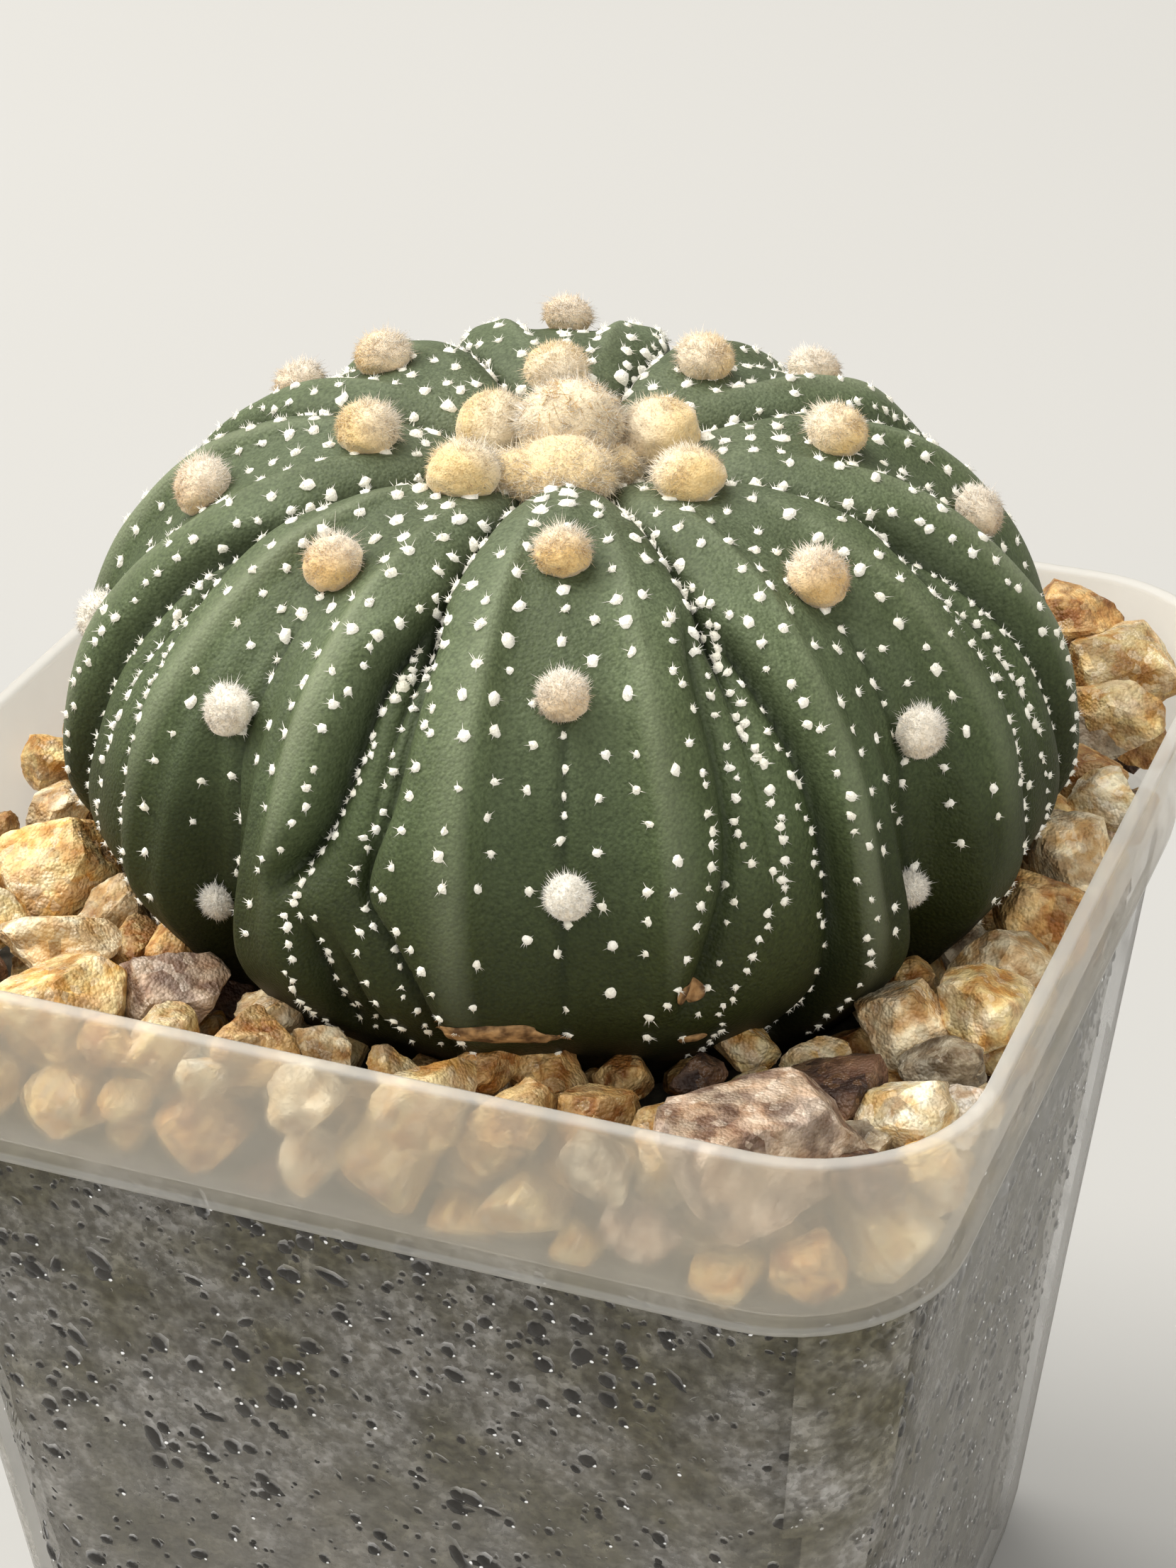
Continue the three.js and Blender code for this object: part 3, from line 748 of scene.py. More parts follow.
# %% Where the tufts sit
# Each tuft is (degrees beside its crest, theta, relative width), in one list for each rib.
TUFTS = [[(-0.2, 34.1, 0.86), (0.7, 50.3, 0.87), (0.8, 69.3, 0.88)],
         [(1.2, 22, 1), (0, 42.2, 1.06), (2.4, 61.3, 0.98), (0, 79, 1)],
         [(6, 14, 1.15), (0.9, 34, 1.05), (1, 53.1, 1.03), (0, 71, 1)],
         [(3.3, 28.7, 0.93), (-3.1, 45.5, 1), (0, 65, 1), (0, 82, 1)],
         [(3.7, 19.2, 0.9), (-0.7, 41, 0.88), (0, 60, 1), (0, 78, 1)],
         [(12, 13.7, 1), (-1, 35.3, 0.98), (3, 48.5, 1), (0, 69, 1)],
         [(1.6, 26.6, 1.02), (-1, 46.6, 1.12), (-4, 69.3, 1.15)],
         [(0.6, 20.6, 1.03), (0, 40.1, 0.97), (-2.2, 58.6, 0.93), (-2.4, 81.2, 1)]]
TUFT_RADIUS = [(10, 2.5), (20, 2.2), (30, 1.95), (45, 1.75), (60, 1.6), (72, 1.4), (82, 1.0)]
TUFT_AGE = [(12, 0.0), (26, 0.24), (40, 0.43), (50, 0.62), (62, 0.88), (72, 1.0)]
seats = []
for rib, places in enumerate(TUFTS):
    for offset, theta, width in places:
        if offset < 0:
            seats.append(((rib - 1) % len(RIBS), PITCH / 2 + offset, theta, width))
        else:
            seats.append((rib, offset - PITCH / 2, theta, width))
seats = np.array(seats)
tuft_frames = frames_for(seats)
radii = curve_through(TUFT_RADIUS, seats[:, 2]) * seats[:, 3]
ages = curve_through(TUFT_AGE, seats[:, 2]) + random.normal(0, 0.04, len(seats))
print("tufts:", len(seats))

# %% Wool bodies and hairs
bodies = []
for index, radius in enumerate(radii):
    lump = ball * (1 + 0.09 * soft_noise(ball, 0.45, index)[:, None]
                   + 0.05 * soft_noise(ball, 0.14, index + 50)[:, None])
    lump = lump * [1.0, random.uniform(0.88, 1.0), 0.8] * radius
    bodies.append(lump + [0, 0, 0.45 * radius])
HAIRS_EACH = 1550
HAIR_WIDTH = 0.032
which = np.repeat(np.arange(len(seats)), HAIRS_EACH)
lean = unit(random.normal(0, 1, (len(which), 3)))
lean[:, 2] = np.where(lean[:, 2] < -0.25, -lean[:, 2], lean[:, 2])
size = radii[which]
roots = lean * size[:, None] * [0.93, 0.88, 0.75] + size[:, None] * [0, 0, 0.45]
ways = lean + random.normal(0, 0.7, lean.shape)
upper = lean[:, 1] + 0.5 * lean[:, 2]
hairs = hair_points([part[which] for part in tuft_frames], roots, ways,
                    (random.gamma(5, 0.075, len(which)) * (1 + 0.6 * upper) + 0.14)
                    * (1.1 - 0.4 * ages[which]),
                    np.full(len(which), HAIR_WIDTH), 0.15)
wool = hairy_piece("wool_tufts", set_on(tuft_frames, np.array(bodies)).reshape(-1, 3),
                   copies(ball, ball_faces, len(seats)), hairs)
paint(wool, "age", np.concatenate([np.repeat(ages, len(ball)), np.repeat(ages[which], 4)]))
# Hairs that point up and out are painted whiter, partly as painted light from above; older wool is
# also paler of itself.
white = np.clip((0.35 + 0.7 * upper + random.normal(0, 0.2, len(which)))
                * (0.6 + 0.4 * ages[which]), 0, 1)
# Painted light: each tuft's body is painted paler on its upper, outer side.
painted_top_light = np.clip(0.1 + 0.5 * ball[:, 1] + 0.3 * ball[:, 2], 0, 0.7)
paint(wool, "hair", np.concatenate([np.tile(painted_top_light, len(seats)), np.repeat(white, 4)]))

# %% Wool material
wool_material, tree, shader = new_material("soft_wool", Roughness=0.95, Sheen_Weight=0.5,
                                           Sheen_Roughness=0.5, Specular_IOR_Level=0.1)
base = ramp(tree, stored(tree, "age"), [(0.0, "E8D2A2"), (0.3, "F0D194"), (0.5, "DAB67E"),
                                        (0.7, "EAD8BC"), (0.95, "F8F3E8")])
body = mix(tree, 0.8, base, two_tone(tree, 0.3, "FFFFFF", "E6D8BE", 0.25), "MULTIPLY")
# The stored paleness whitens the wool: older hairs and the crown's dome are paler of themselves, and
# the tufts' upper sides carry painted light.
pale_wool_and_top_light = maths(tree, "MULTIPLY", stored(tree, "hair"), 0.75)
feed(tree, shader, Base_Color=mix(tree, pale_wool_and_top_light, body, colour("FFFBF0")))
bump(tree, shader, use_group(tree, grain, Size=0.14)["Height"], 0.5)
wool.data.materials.append(wool_material)
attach(wool, "root")
print("material:", wool_material.name)

# %% [markdown]
# ## The woolly crown
# The growing point hides under a dome of matted straw-coloured wool, with a skirt of it spilling
# towards the front. It is the same recipe as the tufts, only larger, with long curved fibres
# laid over it so that it reads as matted and not as felt.

# %% Crown lobes
along = (math.cos(math.radians(RIBS[0])), math.sin(math.radians(RIBS[0])), 0)
crown_seat = [frames_for(np.array([(0.0, -PITCH / 2, 1.5)]))[0],
              *(np.array([way], float) for way in (along, np.cross((0, 0, 1), along), (0, 0, 1)))]
# Each lobe is (middle, reach), both as (along, up, out) from the crown.
LOBES = [((0.1, 0.6, 3.3), (3.2, 2.7, 2.9)), ((-0.2, -3.4, 2.2), (3.1, 3.8, 2.0)),
         ((-0.6, -4.8, 2.2), (3.5, 2.6, 1.3)), ((-3.4, -4.0, 2.3), (2.4, 2.2, 1.3)),
         ((2.5, -1.2, 1.3), (2.0, 2.1, 1.5))]
parts = []
for index, (middle, reach) in enumerate(LOBES):
    lump = ball * (1 + 0.07 * soft_noise(ball, 0.4, index + 90)[:, None]
                   + 0.05 * soft_noise(ball * [1, 1, 0.4], 0.12, index + 95)[:, None])
    parts.append(lump * reach + middle)
crown_body = set_on(crown_seat, np.concatenate(parts)[None]).reshape(-1, 3)
print("lobes:", len(LOBES))

# %% Crown fibres
FIBRES = 24000
FIBRE_WIDTH = 0.035
which = random.choice(len(LOBES), FIBRES, p=[0.36, 0.24, 0.16, 0.12, 0.12])
lean = unit(random.normal(0, 1, (FIBRES, 3)))
lean[:, 2] = np.abs(lean[:, 2]) * 0.9 + 0.02
middles, reaches = (part[which] for part in np.array(LOBES).transpose(1, 0, 2))
swirl = np.cross(lean, [0, 0, 1]) * random.normal(0, 1.3, (FIBRES, 1))
ways = lean * 0.35 + swirl + random.normal(0, 0.6, lean.shape)
ways[which > 0] += (0, -0.6, 0)
fibres = hair_points(crown_seat, middles + lean * reaches * 0.95, ways,
                     random.gamma(4, 0.16, FIBRES) + 0.2, np.full(FIBRES, FIBRE_WIDTH), 0.2)
STRAWS = 160
STRAW_WIDTH = 0.04
lean = unit(random.normal(0, 0.5, (STRAWS, 3)) + (0, 0, 0.9))
ways = np.cross(lean, random.normal(0, 1, lean.shape)) + 0.4 * lean
straws = hair_points(crown_seat, np.array(LOBES[0][0]) + lean * LOBES[0][1], ways,
                     random.uniform(0.8, 2.0, STRAWS), np.full(STRAWS, STRAW_WIDTH), 0.3)
print("crown fibres:", FIBRES + STRAWS)

# %% Crown wool
crown = hairy_piece("crown_wool", crown_body, copies(ball, ball_faces, len(LOBES)),
                    np.concatenate([fibres, straws]))
paint(crown, "age", np.concatenate([np.full(len(crown_body), 0.05),
                                    np.repeat(random.uniform(0, 0.3, FIBRES), 4),
                                    np.repeat(random.uniform(0.4, 0.6, STRAWS), 4)]))
pale = np.where(which == 0, random.uniform(0.2, 1.2, FIBRES), random.uniform(0, 0.9, FIBRES))
lobe_tones = np.repeat([0.45, 0.12, 0.06, 0.05, 0.1], len(ball))
paint(crown, "hair", np.concatenate([lobe_tones, np.repeat(pale, 4), np.zeros(4 * STRAWS)]))
crown.data.materials.append(wool_material)
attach(crown, "root")
print("crown finish:", wool_material.name)

# %% [markdown]
# ## The pot's shape as a formula
# The pot is a square tube with rounded corners that tapers to the foot, with a wider band at the
# top. Stones, soil, dew and the pot itself all need to know where its wall is, so one function
# gives a ring of points at any size, and another pushes points back inside the wall.

# %% Rounded square rings
RIM_HEIGHT = 75.0
LEDGE_HEIGHT = 61.3
INSIDE = [(0, 26.4), (1.4, 26.6), (61.8, 33.3), (62.6, 34.3), (RIM_HEIGHT, 36.2)]
INSIDE_CORNER = [(0, 5.8), (61.8, 8.8), (RIM_HEIGHT, 9.9)]


def square_ring(half, corner, height, along=9, bend=9):
    """Points round a square with rounded corners, the same number on each side and corner."""
    flat = half - corner
    quarter = [(half, -flat + 2 * flat * step / along) for step in range(along)]
    for step in range(bend):
        angle = math.pi / 2 * step / bend
        quarter.append((flat + corner * math.cos(angle), flat + corner * math.sin(angle)))
    quarters = [np.array(quarter)]
    for _ in range(3):
        quarters.append(np.stack([-quarters[-1][:, 1], quarters[-1][:, 0]], axis=1))
    ring = np.concatenate(quarters)
    return np.concatenate([ring, np.full((len(ring), 1), height)], axis=1)


def keep_inside(points, gap):
    """Pushes points that would stick out through the wall back inside it."""
    flat = points.reshape(-1, 3).copy()
    corner = curve_through(INSIDE_CORNER, flat[:, 2])
    past = np.abs(flat[:, :2]) - (curve_through(INSIDE, flat[:, 2]) - corner)[:, None]
    round_part = np.maximum(past, 0)
    length = np.linalg.norm(round_part, axis=1)
    over = np.maximum(length + np.minimum(past.max(axis=1), 0) - corner + gap, 0)
    way = round_part / np.maximum(length, 1e-6)[:, None]
    flat[:, :2] -= np.sign(flat[:, :2]) * way * over[:, None]
    return flat.reshape(points.shape)


print("ring points:", len(square_ring(37.5, 11, RIM_HEIGHT)))

# %% [markdown]
# ## The top dressing
# The plant sits in coarse river grit: golden quartz, ochre and tan lumps, a few cream and white
# crystals, red-brown flints and one big purple-grey pebble. A grain of grit is a chip whose flat
# faces met and then wore round, so each stone starts as a ball cut by a dozen soft planes, and
# gets small dents of its own. The ones that the photograph shows are listed one by one.

# %% Stones that the photograph shows
# Each stone is (x, y, width, height of its middle).
SEEN_STONES = {
    "gold": [(-27.4, -16.4, 7.6, 70), (-33.6, -5, 4.8, 70.5), (-11.7, -31.7, 4.7, 70),
             (-28.5, -23, 5, 69.5), (20.2, -29.2, 6, 69.7), (5.2, -32.2, 6.4, 70),
             (-19.2, -29.3, 7.6, 70), (33.2, -26.8, 3.6, 69.2), (30.4, 29.6, 7.4, 71.8),
             (32.6, -12.8, 6.6, 70.4), (31.4, 24.0, 6.2, 71)],
    "ochre": [(-33.2, -0.9, 3.6, 70.8), (-6.8, -30.6, 5.6, 69.7), (10.6, -31.4, 5.0, 69.9),
              (14.6, -29.8, 4.8, 69.8), (-15, -33, 3.6, 70), (33, -0.6, 6, 70.2),
              (31.3, 17.6, 5, 70), (25.8, 32.2, 6.8, 73.4)],
    "tan": [(-31, -9.2, 4.8, 69.8), (-22.6, -24.4, 6.2, 70), (-1.6, -33.4, 4.6, 69.6),
            (28.4, -14.7, 6.4, 70.2), (32.7, -7.4, 6, 70.2), (33, 7, 6, 70)],
    "cream": [(31.4, -23.8, 5, 70.2), (33, 14.8, 5.2, 70), (-8, -33.8, 3, 69.8)],
    "white": [(34, -21.6, 4, 69.6)],
    "red": [(26.8, -22.7, 6.4, 69), (31, -29.2, 4.4, 69.2)],
    "mauve": [(24.4, -29.9, 11, 69.6), (-14, -26.5, 6.2, 69.6)],
    "grey": [(29.6, -26.0, 3.8, 69), (32, -17.9, 4.8, 69.6), (30.4, 23.4, 5.4, 69.8),
             (16.2, -33.3, 4.8, 69.4)],
}
print("stones placed by hand:", sum(map(len, SEEN_STONES.values())))

# %% Fill in the rest
SHARES = {"gold": 0.34, "ochre": 0.22, "tan": 0.18, "cream": 0.09, "white": 0.02, "red": 0.05,
          "mauve": 0.04, "grey": 0.06}
# Each layer is (height, jitter, (thinnest, thickest), distance from the plant, depth from the wall).
LAYERS = [(69.4, 0.9, (3.4, 6.2), 27.5, 20), (67.9, 0.5, (3.8, 6.2), 25, 3.0),
          (65.0, 0.5, (3.8, 6.2), 25, 3.0), (62.8, 0.3, (3.0, 5.0), 25, 2.6),
          (66.2, 0.8, (3.2, 6.0), 25, 20), (62.9, 0.5, (3.0, 5.4), 24, 8)]
TRIES = 4200
REACH = 34.5


def room_at(x, y, height):
    """How far a place is from the pot's wall."""
    corner = float(curve_through(INSIDE_CORNER, height))
    past = np.abs([x, y]) - float(curve_through(INSIDE, height)) + corner
    return corner - np.linalg.norm(np.maximum(past, 0)) - min(past.max(), 0)


random = np.random.default_rng(12)
stones = [(kind, *stone) for kind, placed in SEEN_STONES.items() for stone in placed]
for middle, jitter, (thin, thick), nearest, depth in LAYERS:
    for _ in range(TRIES):
        x, y = random.uniform(-REACH, REACH, 2)
        width = random.uniform(thin, thick)
        height = middle + random.uniform(-jitter, jitter)
        room = room_at(x, y, height)
        from_plant = math.hypot(x - PLANT_BASE[0], y - PLANT_BASE[1])
        if from_plant < nearest + 0.4 * width or not 0.36 * width < room < depth:
            continue
        others = np.array([stone[1:] for stone in stones])
        apart = np.linalg.norm(others[:, [0, 1, 3]] - (x, y, height), axis=1)
        if np.all(apart > 0.42 * (others[:, 2] + width)):
            kind = random.choice(list(SHARES), p=list(SHARES.values()))
            stones.append((str(kind), x, y, width, height))
print("stones in all:", len(stones))

# %% The shape of a stone
FACETS = 13
BIG = 9
SEEN_FROM = 68.2


def facet_ways():
    """Ways spread evenly over a ball, one for each facet."""
    index = np.arange(FACETS) + 0.5
    polar = np.arccos(1 - 2 * index / FACETS)
    swirl = math.pi * (1 + 5 ** 0.5) * index
    return np.stack([np.cos(swirl) * np.sin(polar), np.sin(swirl) * np.sin(polar), np.cos(polar)],
                    axis=1)


def stone_points(ball, stones):
    """A broken chip for each stone, from a ball cut by planes, and how much each point stands out."""
    even = facet_ways()
    shaped, worn = [], []
    for number, (kind, x, y, width, height) in enumerate(stones):
        normals = unit(even + random.normal(0, 0.3, even.shape))
        spin = spun((random.uniform(0, 6.28), "Z"), (random.uniform(0, 6.28), "X"))
        cut = np.maximum(ball @ spin @ normals.T, 0) / random.uniform(0.66, 1.0, FACETS)
        reach = np.minimum(1 / np.sum(cut ** 40, axis=1) ** (1 / 40), 1.2)
        points = ball * reach[:, None]
        dents = sum(depth * soft_noise(points, size, number)
                    for depth, size in ((0.055, 0.5), (0.04, 0.24), (0.028, 0.12)))
        points = points * (1 + dents)[:, None]
        worn.append(dents / 0.08)
        flat = 0.8 if width > BIG else random.uniform(0.68, 0.92)
        points *= np.array([1.1, random.uniform(0.82, 1.05), flat]) * width / 2
        tilt = random.normal(0, 0.05 if width > BIG else 0.35)
        points = points @ spun((random.uniform(0, 6.28), "Z"), (tilt, "X")).T
        if width > BIG:
            top = 0.3 * width
            points[:, 2] = np.minimum(points[:, 2], top + 0.12 * (points[:, 2] - top))
        shaped.append(points + (x, y, height))
    return keep_inside(np.array(shaped), 0.15).reshape(-1, 3), np.array(worn).ravel()


print("facets on a stone:", FACETS)

# %% Shape the stones
fine_ball, plain_ball = ball_template(4), ball_template(3)
stone_pieces = {}
for kind in SHARES:
    mine = [stone for stone in stones if stone[0] == kind]
    groups = [(fine_ball, [stone for stone in mine if stone[4] > SEEN_FROM]),
              (plain_ball, [stone for stone in mine if stone[4] <= SEEN_FROM])]
    points, worn, faces = [], [], []
    for (ball, triangles), group in groups:
        faces.append(copies(ball, triangles, len(group)) + sum(map(len, points)))
        chips, dents = stone_points(ball, group)
        points.append(chips)
        worn.append(dents)
    tones = [np.repeat(random.random(len(group)), len(ball)) for (ball, _), group in groups]
    piece = new_piece(kind + "_stones", np.concatenate(points), np.concatenate(faces), smooth=False)
    paint(piece, "worn", np.concatenate(worn))
    paint(piece, "tone", np.concatenate(tones))
    stone_pieces[kind] = piece

# %% [markdown]
# The stones share one recipe: two tones that wander over the stone, a stain in a third, crystals
# that glint, and dark grains. Each kind only brings its own colours, so the recipe is a function
# that is called once for each kind.

# %% The finish of a stone
STONE_COLOURS = {
    "gold": ("F6DC9A", "DCAE5C", "FFF4D8"), "ochre": ("E2B670", "AE7A38", "F7E0A8"),
    "tan": ("F8E6BE", "D4B67E", "FFF6DC"), "cream": ("FBF0CC", "E6CD90", "FFFDF0"),
    "white": ("FBF7EE", "E0D6C2", "FFFFFF"), "red": ("6E4E3A", "3F291C", "A98466"),
    "mauve": ("D6BCA2", "907868", "FBEBD6"), "grey": ("BDB097", "82765F", "E2D6BC")}


def specked(tree, specks, share, under, over):
    """Lets over show through under by share wherever there are specks."""
    return mix(tree, maths(tree, "MULTIPLY", specks, share), under, over)


def stone_finish(kind, light, dark, glint):
    material, tree, shader = new_material(kind + "_quartz", Specular_IOR_Level=0.5)
    base = two_tone(tree, 2.2, light, dark, 0.06)
    stain = two_tone(tree, 1.1, "FFFFFF", "DCAE68", 0.1)
    shade = remap(tree, stored(tree, "tone"), 0.72, 1.1)
    stained = mix(tree, 0.45, mix(tree, 1.0, base, shade, "MULTIPLY"), stain, "MULTIPLY")
    worn = stored(tree, "worn")
    raised = remap(tree, worn, 0.0, 0.55, -0.2, 1.0)
    sunk = remap(tree, worn, 0.0, 0.65, -0.1, -1.1)
    broken = mix(tree, sunk, mix(tree, raised, stained, colour(glint)),
                 mix(tree, 1.0, stained, colour("B07A45"), "MULTIPLY"))
    crystals = use_group(tree, grain, Size=0.6, Share=0.2)
    bright = specked(tree, crystals["Specks"], 0.28, broken, colour(glint))
    dust = use_group(tree, grain, Size=0.22, Share=0.1)
    dusty = specked(tree, dust["Specks"], 0.22, bright, colour("5A452C"))
    smoky = mix(tree, 0.45, dusty, two_tone(tree, 2.6, "FFFFFF", "B5A78E", 0.04), "MULTIPLY")
    # Patches of lighter and darker tone, partly the grain of quartz and partly painted shade standing
    # in for facets turned to and from the light.
    facet_shade_cells = use_group(tree, grain, Size=1.5, Share=0.3)["Cells"]
    uneven = remap(tree, put(tree, "SeparateColor", {0: facet_shade_cells}).outputs[1], 0.68, 1.18)
    feed(tree, shader, Base_Color=mix(tree, 1.0, smoky, uneven, "MULTIPLY"),
         Roughness=remap(tree, crystals["Specks"], 0.55, 0.22))
    bump(tree, shader, maths(tree, "ADD", crystals["Height"], dust["Height"]), 0.6, 0.2)
    return material


print("kinds of stone:", list(STONE_COLOURS))

# %% Stone materials
for kind, piece in stone_pieces.items():
    piece.data.materials.append(stone_finish(kind, *STONE_COLOURS[kind]))
    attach(piece, "root")
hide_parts("gravel")
print("stone materials:", len(stone_pieces))

# %% [markdown]
# ## The soil
# Behind the lower wall stands the damp soil: a dark grey-brown block with grit in it, and a
# green breath of algae where light gets in. Only its sides are seen, so it is the pot's inside
# shape, drawn in by a fraction of a millimetre and roughened by noise.

# %% Soil block
SOIL_TOP = 62.0
levels = np.concatenate([[1.8], np.linspace(2.2, SOIL_TOP - 0.4, 84), [SOIL_TOP]])
rings = []
for level in levels:
    half = float(curve_through(INSIDE, min(level, 61.6))) - 0.2
    rings.append(square_ring(half, float(curve_through(INSIDE_CORNER, level)), level, 50, 12))
points = np.concatenate(rings)
rough = 0.4 + 0.4 * soft_noise(points, 2.6, 3) + 0.2 * soft_noise(points, 0.9, 4)
inward = unit(points * np.array([1, 1, 0]))
soil = new_piece("soil_block", points - inward * np.clip(rough, 0, 1.1)[:, None] * 0.8,
                 loft_faces(len(rings), len(rings[0])))
close_ends(soil)

# %% Soil material
soil_material, tree, shader = new_material("damp_grit", Roughness=0.8, Specular_IOR_Level=0.3)
earth = two_tone(tree, 4.0, "6E675A", "2E2B25", 0.16)
moss = two_tone(tree, 14.0, "FFFFFF", "8C9A66", 0.12)
pale = two_tone(tree, 2.2, "FFFFFF", "6A665C", 0.06)
grit = use_group(tree, grain, Size=1.4, Share=0.3)
speckled = specked(tree, grit["Specks"], 0.12, mix(tree, 0.6, earth, moss, "MULTIPLY"),
                   colour("8C8372"))
feed(tree, shader, Base_Color=mix(tree, 0.6, speckled, pale, "MULTIPLY"))
bump(tree, shader, grit["Height"], 0.7, 0.6)
soil.data.materials.append(soil_material)
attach(soil, "root")
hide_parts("soil")
print("material:", soil_material.name)

# %% [markdown]
# ## The pot
# It is a thin pot of cloudy polypropylene. Its wall is drawn as one closed outline, up the
# outside, over the lip and down the inside, and swept round the rounded square. The drain holes
# are cut afterwards with a Boolean, the way a punch would do it.

# %% Pot mesh
# Each ring is (half its width, corner radius, height), from the foot up and down the inside.
OUTER = [(26.6, 6, 0), (27.3, 6.6, 0.15), (27.75, 7, 0.7), (28.3, 7.1, 4), (30.6, 8.2, 26),
         (32.6, 9.1, 44), (34.45, 9.9, 60.8), (34.55, 10, 61.1), (35, 10.3, 61.3),
         (35.35, 10.6, 61.5), (35.5, 10.7, 61.9), (35.9, 10.75, 64.5), (36.6, 10.85, 69.5),
         (37.25, 10.95, 74.1), (37.45, 11, 74.55), (37.42, 10.98, 74.88), (37.25, 10.8, 75)]
INNER = [(36.75, 10.3, 75), (36.5, 10.05, 74.9), (36.38, 9.95, 74.6), (35.85, 9.8, 71),
         (34.9, 9.5, 65.2), (34.4, 9.3, 62.3), (34.1, 9.1, 62.0), (33.7, 8.9, 61.8),
         (33.4, 8.9, 61.5), (31.4, 8, 44), (29.4, 7.2, 26), (27.3, 6.1, 5), (26.9, 5.9, 1.9),
         (26.4, 5.5, 1.4)]
rings = [square_ring(half, corner, height, 12, 12) for half, corner, height in OUTER + INNER]
pot = new_piece("square_pot", np.concatenate(rings), loft_faces(len(rings), len(rings[0])))
close_ends(pot)

# %% Drain holes
DRAINS = [(0, 0), (14, 14), (-14, 14), (-14, -14), (14, -14)]
DRAIN_RADIUS = 3.2
for x, y in DRAINS:
    bpy.ops.mesh.primitive_cylinder_add(vertices=32, radius=DRAIN_RADIUS * MM, depth=6 * MM,
                                        location=(x * MM, y * MM, 0))
    punch = bpy.context.object
    cut = pot.modifiers.new("drain", "BOOLEAN")
    cut.operation = "DIFFERENCE"
    cut.object = punch
    bpy.context.view_layer.objects.active = pot
    bpy.ops.object.modifier_apply(modifier="drain")
    bpy.data.objects.remove(punch, do_unlink=True)
print("pot faces:", len(pot.data.polygons))

# %% [markdown]
# Cloudy plastic lets light in, blurs what touches it and greys what lies further behind. The band
# is the thickest part: a rough see-through shader gives its blur, and plain alpha lets enough
# light reach the stones. The lower wall is thinner and clearer, and its fog is a film of dew on
# the inside. So the mesh gets three finishes, chosen for each face by where it lies.

# %% The cloudy band
def on_band(tree, low, high, fade):
    """1 between two heights of the pot and 0 outside them, with soft ends, in millimetres."""
    level = put(tree, "SeparateXYZ", {0: put(tree, "TexCoord").outputs["Object"]}).outputs[2]
    rising = remap(tree, level, 0.0, 1.0, (low - fade) * MM, low * MM)
    falling = remap(tree, level, 0.0, 1.0, (high + fade) * MM, high * MM)
    return maths(tree, "MULTIPLY", rising, falling)


band_material, tree, shader = new_material(
    "cloudy_band", Transmission_Weight=0.55, IOR=1.12, Roughness=0.3, Specular_IOR_Level=0.5)
fog = two_tone(tree, 9.0, "FDF7EA", "EFE6D4", 0.3)
# The lip and the ledge bead are painted whiter and more opaque: thicker cloudy plastic, and also a
# painted highlight along these edges.
lip = on_band(tree, RIM_HEIGHT - 0.1, 80, 0.2)
ledge = on_band(tree, LEDGE_HEIGHT - 0.3, LEDGE_HEIGHT + 0.9, 0.2)
edges = maths(tree, "MAXIMUM", lip, ledge)
feed(tree, shader, Base_Color=mix(tree, edges, fog, colour("EDEBE4")),
     Alpha=remap(tree, edges, 0.43, 0.66))
print("material:", band_material.name)

# %% The clear wall
clear_material, tree, shader = new_material(
    "clear_wall", Transmission_Weight=0.0, IOR=1.45, Roughness=0.3, Specular_IOR_Level=0.3)
haze = two_tone(tree, 6.0, "B4B2AC", "9C9A94", 0.3)
behind = maths(tree, "MULTIPLY", put(tree, "NewGeometry").outputs["Backfacing"],
               put(tree, "LightPath").outputs["Is Camera Ray"])
facing = put(tree, "LayerWeight", {"Blend": 0.3}).outputs["Facing"]
thick = ramp(tree, facing, [(0.0, 0.03), (0.45, 0.05), (0.8, 0.4), (1.0, 0.3)])
scratches = use_group(tree, grain, Size=1.2)["Height"]
scratched = maths(tree, "MULTIPLY_ADD", scratches, 0.03, thick)
feed(tree, shader, Base_Color=mix(tree, behind, haze, colour("D6D3CC")),
     Alpha=maths(tree, "MULTIPLY_ADD", behind, 0.6, scratched))
print("material:", clear_material.name)

# %% The dewy inner face
fog_material, tree, shader = new_material(
    "dewy_wall", Transmission_Weight=0.0, IOR=1.3, Roughness=0.6, Specular_IOR_Level=0.3)
mist = two_tone(tree, 2.6, "E2DFDA", "B6B3AC", 0.2)
for size, tone, spread in ((7.0, "B9B59D", 0.1), (0.8, "B9B6B0", 0.12)):
    mist = mix(tree, 1.0, mist, two_tone(tree, size, "FFFFFF", tone, spread), "MULTIPLY")
fine_dew = use_group(tree, grain, Size=0.35, Share=0.4)
misty = specked(tree, fine_dew["Specks"], 0.4, mist, colour("66635B"))
lower_fog = maths(tree, "MULTIPLY", on_band(tree, -10, 30, 20), 0.5)
feed(tree, shader, Base_Color=mix(tree, lower_fog, misty, colour("BDBAB3")),
     Alpha=remap(tree, use_group(tree, grain, Size=4.0)["Height"], 0.4, 0.85))
bump(tree, shader, fine_dew["Height"], 0.5, 0.2)
print("material:", fog_material.name)

# %% Finishes on the pot
for material in (band_material, clear_material, fog_material):
    pot.data.materials.append(material)
BAND, CLEAR, DEWY = range(3)
for face in pot.data.polygons:
    middle = face.center / MM
    inner = max(abs(middle.x), abs(middle.y)) < float(curve_through(INSIDE, middle.z)) + 0.45
    if middle.z < LEDGE_HEIGHT - 0.3:
        face.material_index = DEWY if inner else CLEAR
    else:
        face.material_index = BAND
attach(pot, "root")
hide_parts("pot")
print("pot finishes:", [material.name for material in pot.data.materials])

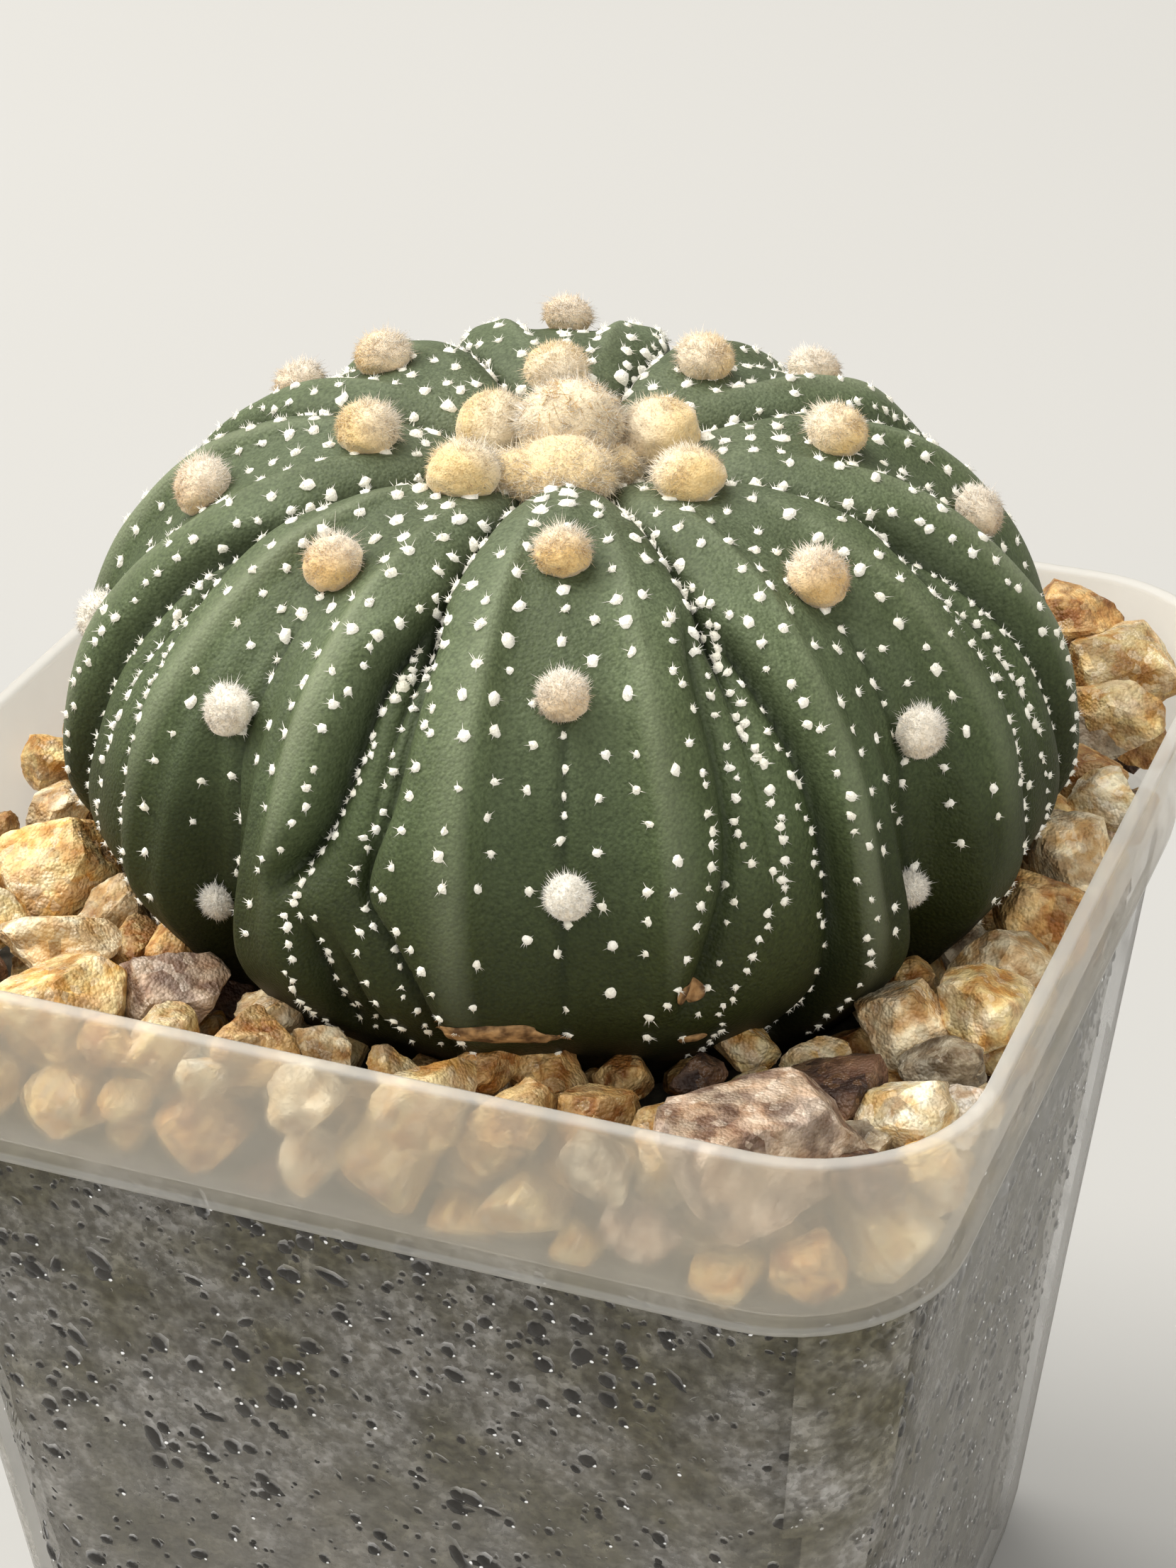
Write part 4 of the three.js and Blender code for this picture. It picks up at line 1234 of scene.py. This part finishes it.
# %% [markdown]
# ## Dew on the wall
# Damp soil fogs the pot from inside, and the fog gathers into drops of a few tenths of a
# millimetre, some run together. Painted spots would stay flat, so each drop is a low dome inside
# the thickness of the wall, glossy, with a painted highlight: a pale crescent on its upper rim, and
# beside the larger drops a tiny dome painted white as a sparkle.

# %% A drop on the wall
def on_wall(along, height, depth, local):
    """Puts local points (right, up, out) on the wall, round the corners too, in front view."""
    corner = curve_through(INSIDE_CORNER, height)
    flat = curve_through(INSIDE, height) + depth - corner
    angle = np.clip((np.abs(along) - flat) / corner, 0, math.pi / 4) * np.sign(along)
    x = np.clip(along, -flat, flat) + corner * np.sin(angle)
    y = flat + corner * np.cos(angle)
    right, up, out = (local[..., axis] for axis in range(3))
    turned_x = right * np.cos(angle)[:, None] + out * np.sin(angle)[:, None]
    turned_y = out * np.cos(angle)[:, None] - right * np.sin(angle)[:, None]
    return np.stack([x[:, None] + turned_x, -(y[:, None] + turned_y), height[:, None] + up], axis=2)


def turned_dome(long, high, tilt):
    """Drops that reach long and high from their middles, each turned by its own tilt."""
    local = dome[None] * np.stack([long, high, np.minimum(high * 0.5, 0.24)], axis=1)[:, None]
    local = local * (1 + 0.1 * random.normal(size=(len(long), len(dome), 1)))
    x = local[..., 0] * np.cos(tilt)[:, None] - local[..., 1] * np.sin(tilt)[:, None]
    y = local[..., 0] * np.sin(tilt)[:, None] + local[..., 1] * np.cos(tilt)[:, None]
    return np.stack([x, y, local[..., 2]], axis=2)


dome, dome_faces = knob(8, 0, 0.66, 0.7, 0, 1.0)
print("points in a drop:", len(dome))

# %% Dew drops
random = np.random.default_rng(8)
WALLS = 4
DROPS = 1500
SPARKS = 300
drop_parts, painted_glints = [], []
# Painted highlight: a pale crescent on the upper left of each drop's rim.
shade = np.clip(dome[:, 1] * 1.3 - 0.3 - 0.4 * dome[:, 0], 0, 1) * (dome[:, 2] < 0.5)
for wall in range(WALLS):
    height = 60.4 - 57 * random.random(DROPS) ** 1.25
    along = random.uniform(-1, 1, DROPS) * (curve_through(INSIDE, height) - 2)
    clump = soft_noise(np.stack([along, height, np.full(DROPS, wall * 20.0)], axis=1), 5, 2)
    size = np.clip(random.gamma(1.8, 0.1, DROPS) * (1 + 0.9 * clump) + 0.09, 0.09, 0.7)
    long = size * np.where(random.random(DROPS) < 0.15, random.uniform(1.4, 2.8, DROPS), 1.1)
    bodies = on_wall(along, height, 0.12, turned_dome(long, size, random.normal(-0.3, 0.5, DROPS)))
    # Painted highlights: beside the larger drops sits a tiny dome painted fully white.
    chosen = np.argsort(-size + random.normal(0, 0.1, DROPS))[:SPARKS]
    spark = random.uniform(0.06, 0.12, SPARKS)
    sparks = on_wall(along[chosen] + 0.6 * long[chosen], height[chosen] - 0.5 * size[chosen], 0.26,
                     turned_dome(spark * 1.3, spark, random.normal(0, 0.5, SPARKS)))
    drop_parts.append(np.concatenate([bodies, sparks]).reshape(-1, 3)
                      @ spun((wall * math.pi / 2, "Z")).T)
    painted_glints.append((random.uniform(0.2, 0.9, (DROPS, 1)) * shade).ravel())
    painted_glints.append(np.ones(SPARKS * len(dome)))
drops = new_piece("dew_drops", np.concatenate(drop_parts),
                  copies(dome, dome_faces, WALLS * (DROPS + SPARKS)))
paint(drops, "glint", np.concatenate(painted_glints))

# %% Water
drop_material, tree, shader = new_material("dew", Roughness=0.12, IOR=1.33, Specular_IOR_Level=0.5)
water = two_tone(tree, 2.0, "35322E", "161412", 0.2)
# The stored glint mixes white into the dark water: a painted highlight.
feed(tree, shader, Base_Color=mix(tree, stored(tree, "glint"), water, colour("FFFFFF")))
drops.data.materials.append(drop_material)
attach(drops, "root")
print("material:", drop_material.name)

# %% [markdown]
# ## Floor, light and finish
# The photograph was taken by a window on a pale surface: soft light from above left, and almost
# no hard shadow. Four large lamps and a bright room give that light from every side, which keeps
# the folds readable in all views.

# %% Floor
FLOOR_HALF = 3000
floor = new_piece("floor", [(x * FLOOR_HALF, y * FLOOR_HALF, 0)
                            for x, y in ((-1, -1), (1, -1), (1, 1), (-1, 1))], [(0, 1, 2, 3)])
floor_material, tree, shader = new_material("pale_paper", Roughness=0.9, Specular_IOR_Level=0.1)
paper = two_tone(tree, 400.0, "B1B0AD", "ADACA8", 0.3)
distance = put(tree, "VectorMath", {0: put(tree, "TexCoord").outputs["Object"]}, operation="LENGTH")
# Painted shade: the paper darkens with distance from the pot, standing in for light that falls off.
painted_falloff = remap(tree, distance.outputs["Value"], 0.0, 0.85, 600 * MM, 1600 * MM)
feed(tree, shader, Base_Color=mix(tree, painted_falloff, paper, colour("7E7D7A")))
floor.data.materials.append(floor_material)

# %% Room light and lamps
world = bpy.data.worlds.new("room")
world.use_nodes = True
world.node_tree.nodes["Background"].inputs["Color"].default_value = (1.0, 0.99, 0.97, 1)
world.node_tree.nodes["Background"].inputs["Strength"].default_value = 0.38
bpy.context.scene.world = world


def soft_lamp(name, place, aim_height, size, power):
    """A square lamp, in metres and watts, that points to the pot's axis at aim_height."""
    lamp = bpy.data.lights.new(name, "AREA")
    lamp.size = size
    lamp.energy = power
    lamp.color = (1.0, 0.98, 0.95)
    holder = bpy.data.objects.new(name, lamp)
    holder.location = place
    way = Vector((0, 0, aim_height)) - Vector(place)
    holder.rotation_euler = way.to_track_quat("-Z", "Y").to_euler()
    bpy.context.scene.collection.objects.link(holder)
    print(name, "at", place)


soft_lamp("ceiling_light", (-0.88, 0.27, 1.79), 0.07, 1.76, 53)
soft_lamp("front_light", (0.4, -1.5, 1.3), 0.07, 1.4, 9)
soft_lamp("left_light", (-1.9, -0.6, 1.35), 0.08, 1.2, 34)
soft_lamp("right_light", (1.7, -1.0, 1.1), 0.08, 1.2, 14)
bpy.context.scene.view_settings.view_transform = "Standard"
